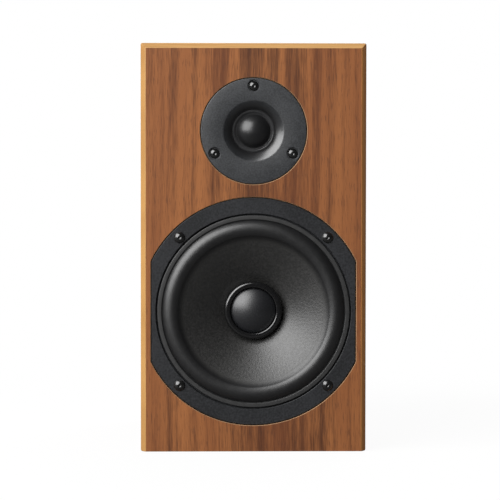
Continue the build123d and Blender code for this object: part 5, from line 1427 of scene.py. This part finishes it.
# %% Hang the lamps
LAMP_DISTANCE, LAMP_SIZE = 1.8, 1.8
LAMPS = {"SoftBox": ((-0.6, -0.6, 0.52), 59.0), "BackLight": ((0.35, 1.0, 0.35), 24.0)}
aim = Vector((0, FRONT, HEIGHT / 2))
for name, (way, power) in LAMPS.items():
    lamp = bpy.data.lights.new(name, "AREA")
    lamp.size, lamp.energy = LAMP_SIZE, power
    soft_box = into_scene(name, lamp)
    soft_box.location = aim + Vector(way).normalized() * LAMP_DISTANCE
    soft_box.rotation_euler = (aim - soft_box.location).to_track_quat("-Z", "Y").to_euler()
print(len(LAMPS), "soft boxes at", LAMP_DISTANCE, "m")

# %% [markdown]
# ## Floor
#
# The floor is matt and takes a shadow, but a matt floor is never as white as the studio. So rays from
# the camera see it mostly as plain white, with a share of the real floor left near the speaker for
# the shadow. To the speaker itself the floor is grey, and throws little light up at it.

# %% Lay the floor
FLOOR_HALF, FLOOR_FRONT, FLOOR_DROP = 4.0, -0.55, 0.0003
FLOOR_GREY, FLOOR_PALE = (0.1, 0.1, 0.1, 1), (0.95, 0.95, 0.95, 1)
SHADOW_SHARE, SHADOW_REACH, BEHIND = 0.06, (0.3, 0.7), (0, 0.3)
near, far = FLOOR_FRONT, FLOOR_HALF
corners = [(-FLOOR_HALF, near), (FLOOR_HALF, near), (FLOOR_HALF, far), (-FLOOR_HALF, far)]
ground = bpy.data.meshes.new("Floor")
ground.from_pydata([(x, y, -FLOOR_DROP) for x, y in corners], [], [(0, 1, 2, 3)])
pale, matt, place = new_finish("PaleFloor", Roughness=0.9)
tree = pale.node_tree
camera_ray, glossy_ray, through_ray = ray_kinds(tree)
feed(matt, Base_Color=camera_ray.mix(FLOOR_GREY, FLOOR_PALE))
behind = place.parts()[1].between(*BEHIND)
away = place.node("ShaderNodeVectorMath", {"operation": "LENGTH"}, {0: place}, "Value")
shadowless = 1 - SHADOW_SHARE + away.between(*SHADOW_REACH) * SHADOW_SHARE
white = (camera_ray + (glossy_ray + through_ray) * behind) * shadowless
glow = white.node("ShaderNodeEmission", inputs={"Color": WHITE, "Strength": 1.0})
shown = white.node("ShaderNodeMixShader", inputs={0: white, 1: Wire(matt.outputs[0]), 2: glow})
tree.links.new(shown.socket, tree.nodes["Material Output"].inputs["Surface"])
ground.materials.append(pale)
floor = into_scene("Floor", ground)
print("floor", 2 * FLOOR_HALF, "m wide")

# %% [markdown]
# ## Camera
#
# The camera looks at the front from almost straight ahead, from far away with a long lens. Closer up,
# the drivers would bulge and parallel edges would run together.

# %% Set the camera
VIEW_DISTANCE, VIEW_TURN, VIEW_RISE, VIEW_ROLL = 1.95, radians(-1.57), radians(2.22), radians(0.06)
LENS, SENSOR = 181.04, 36
AIM_SHIFT = Vector((-0.0028, 0, -0.0017))
way = Vector((sin(VIEW_TURN) * cos(VIEW_RISE), -cos(VIEW_TURN) * cos(VIEW_RISE), sin(VIEW_RISE)))
camera = into_scene("Camera", bpy.data.cameras.new("Camera"))
camera.data.lens, camera.data.sensor_width = LENS, SENSOR
camera.location = aim + way * VIEW_DISTANCE
looking = (aim + AIM_SHIFT - camera.location).to_track_quat("-Z", "Y")
camera.rotation_euler = (looking @ Quaternion((0, 0, 1), VIEW_ROLL)).to_euler()
bpy.context.scene.camera = camera
bpy.context.scene.view_settings.view_transform = "Standard"
print("camera", VIEW_DISTANCE, "m away with a", LENS, "mm lens")
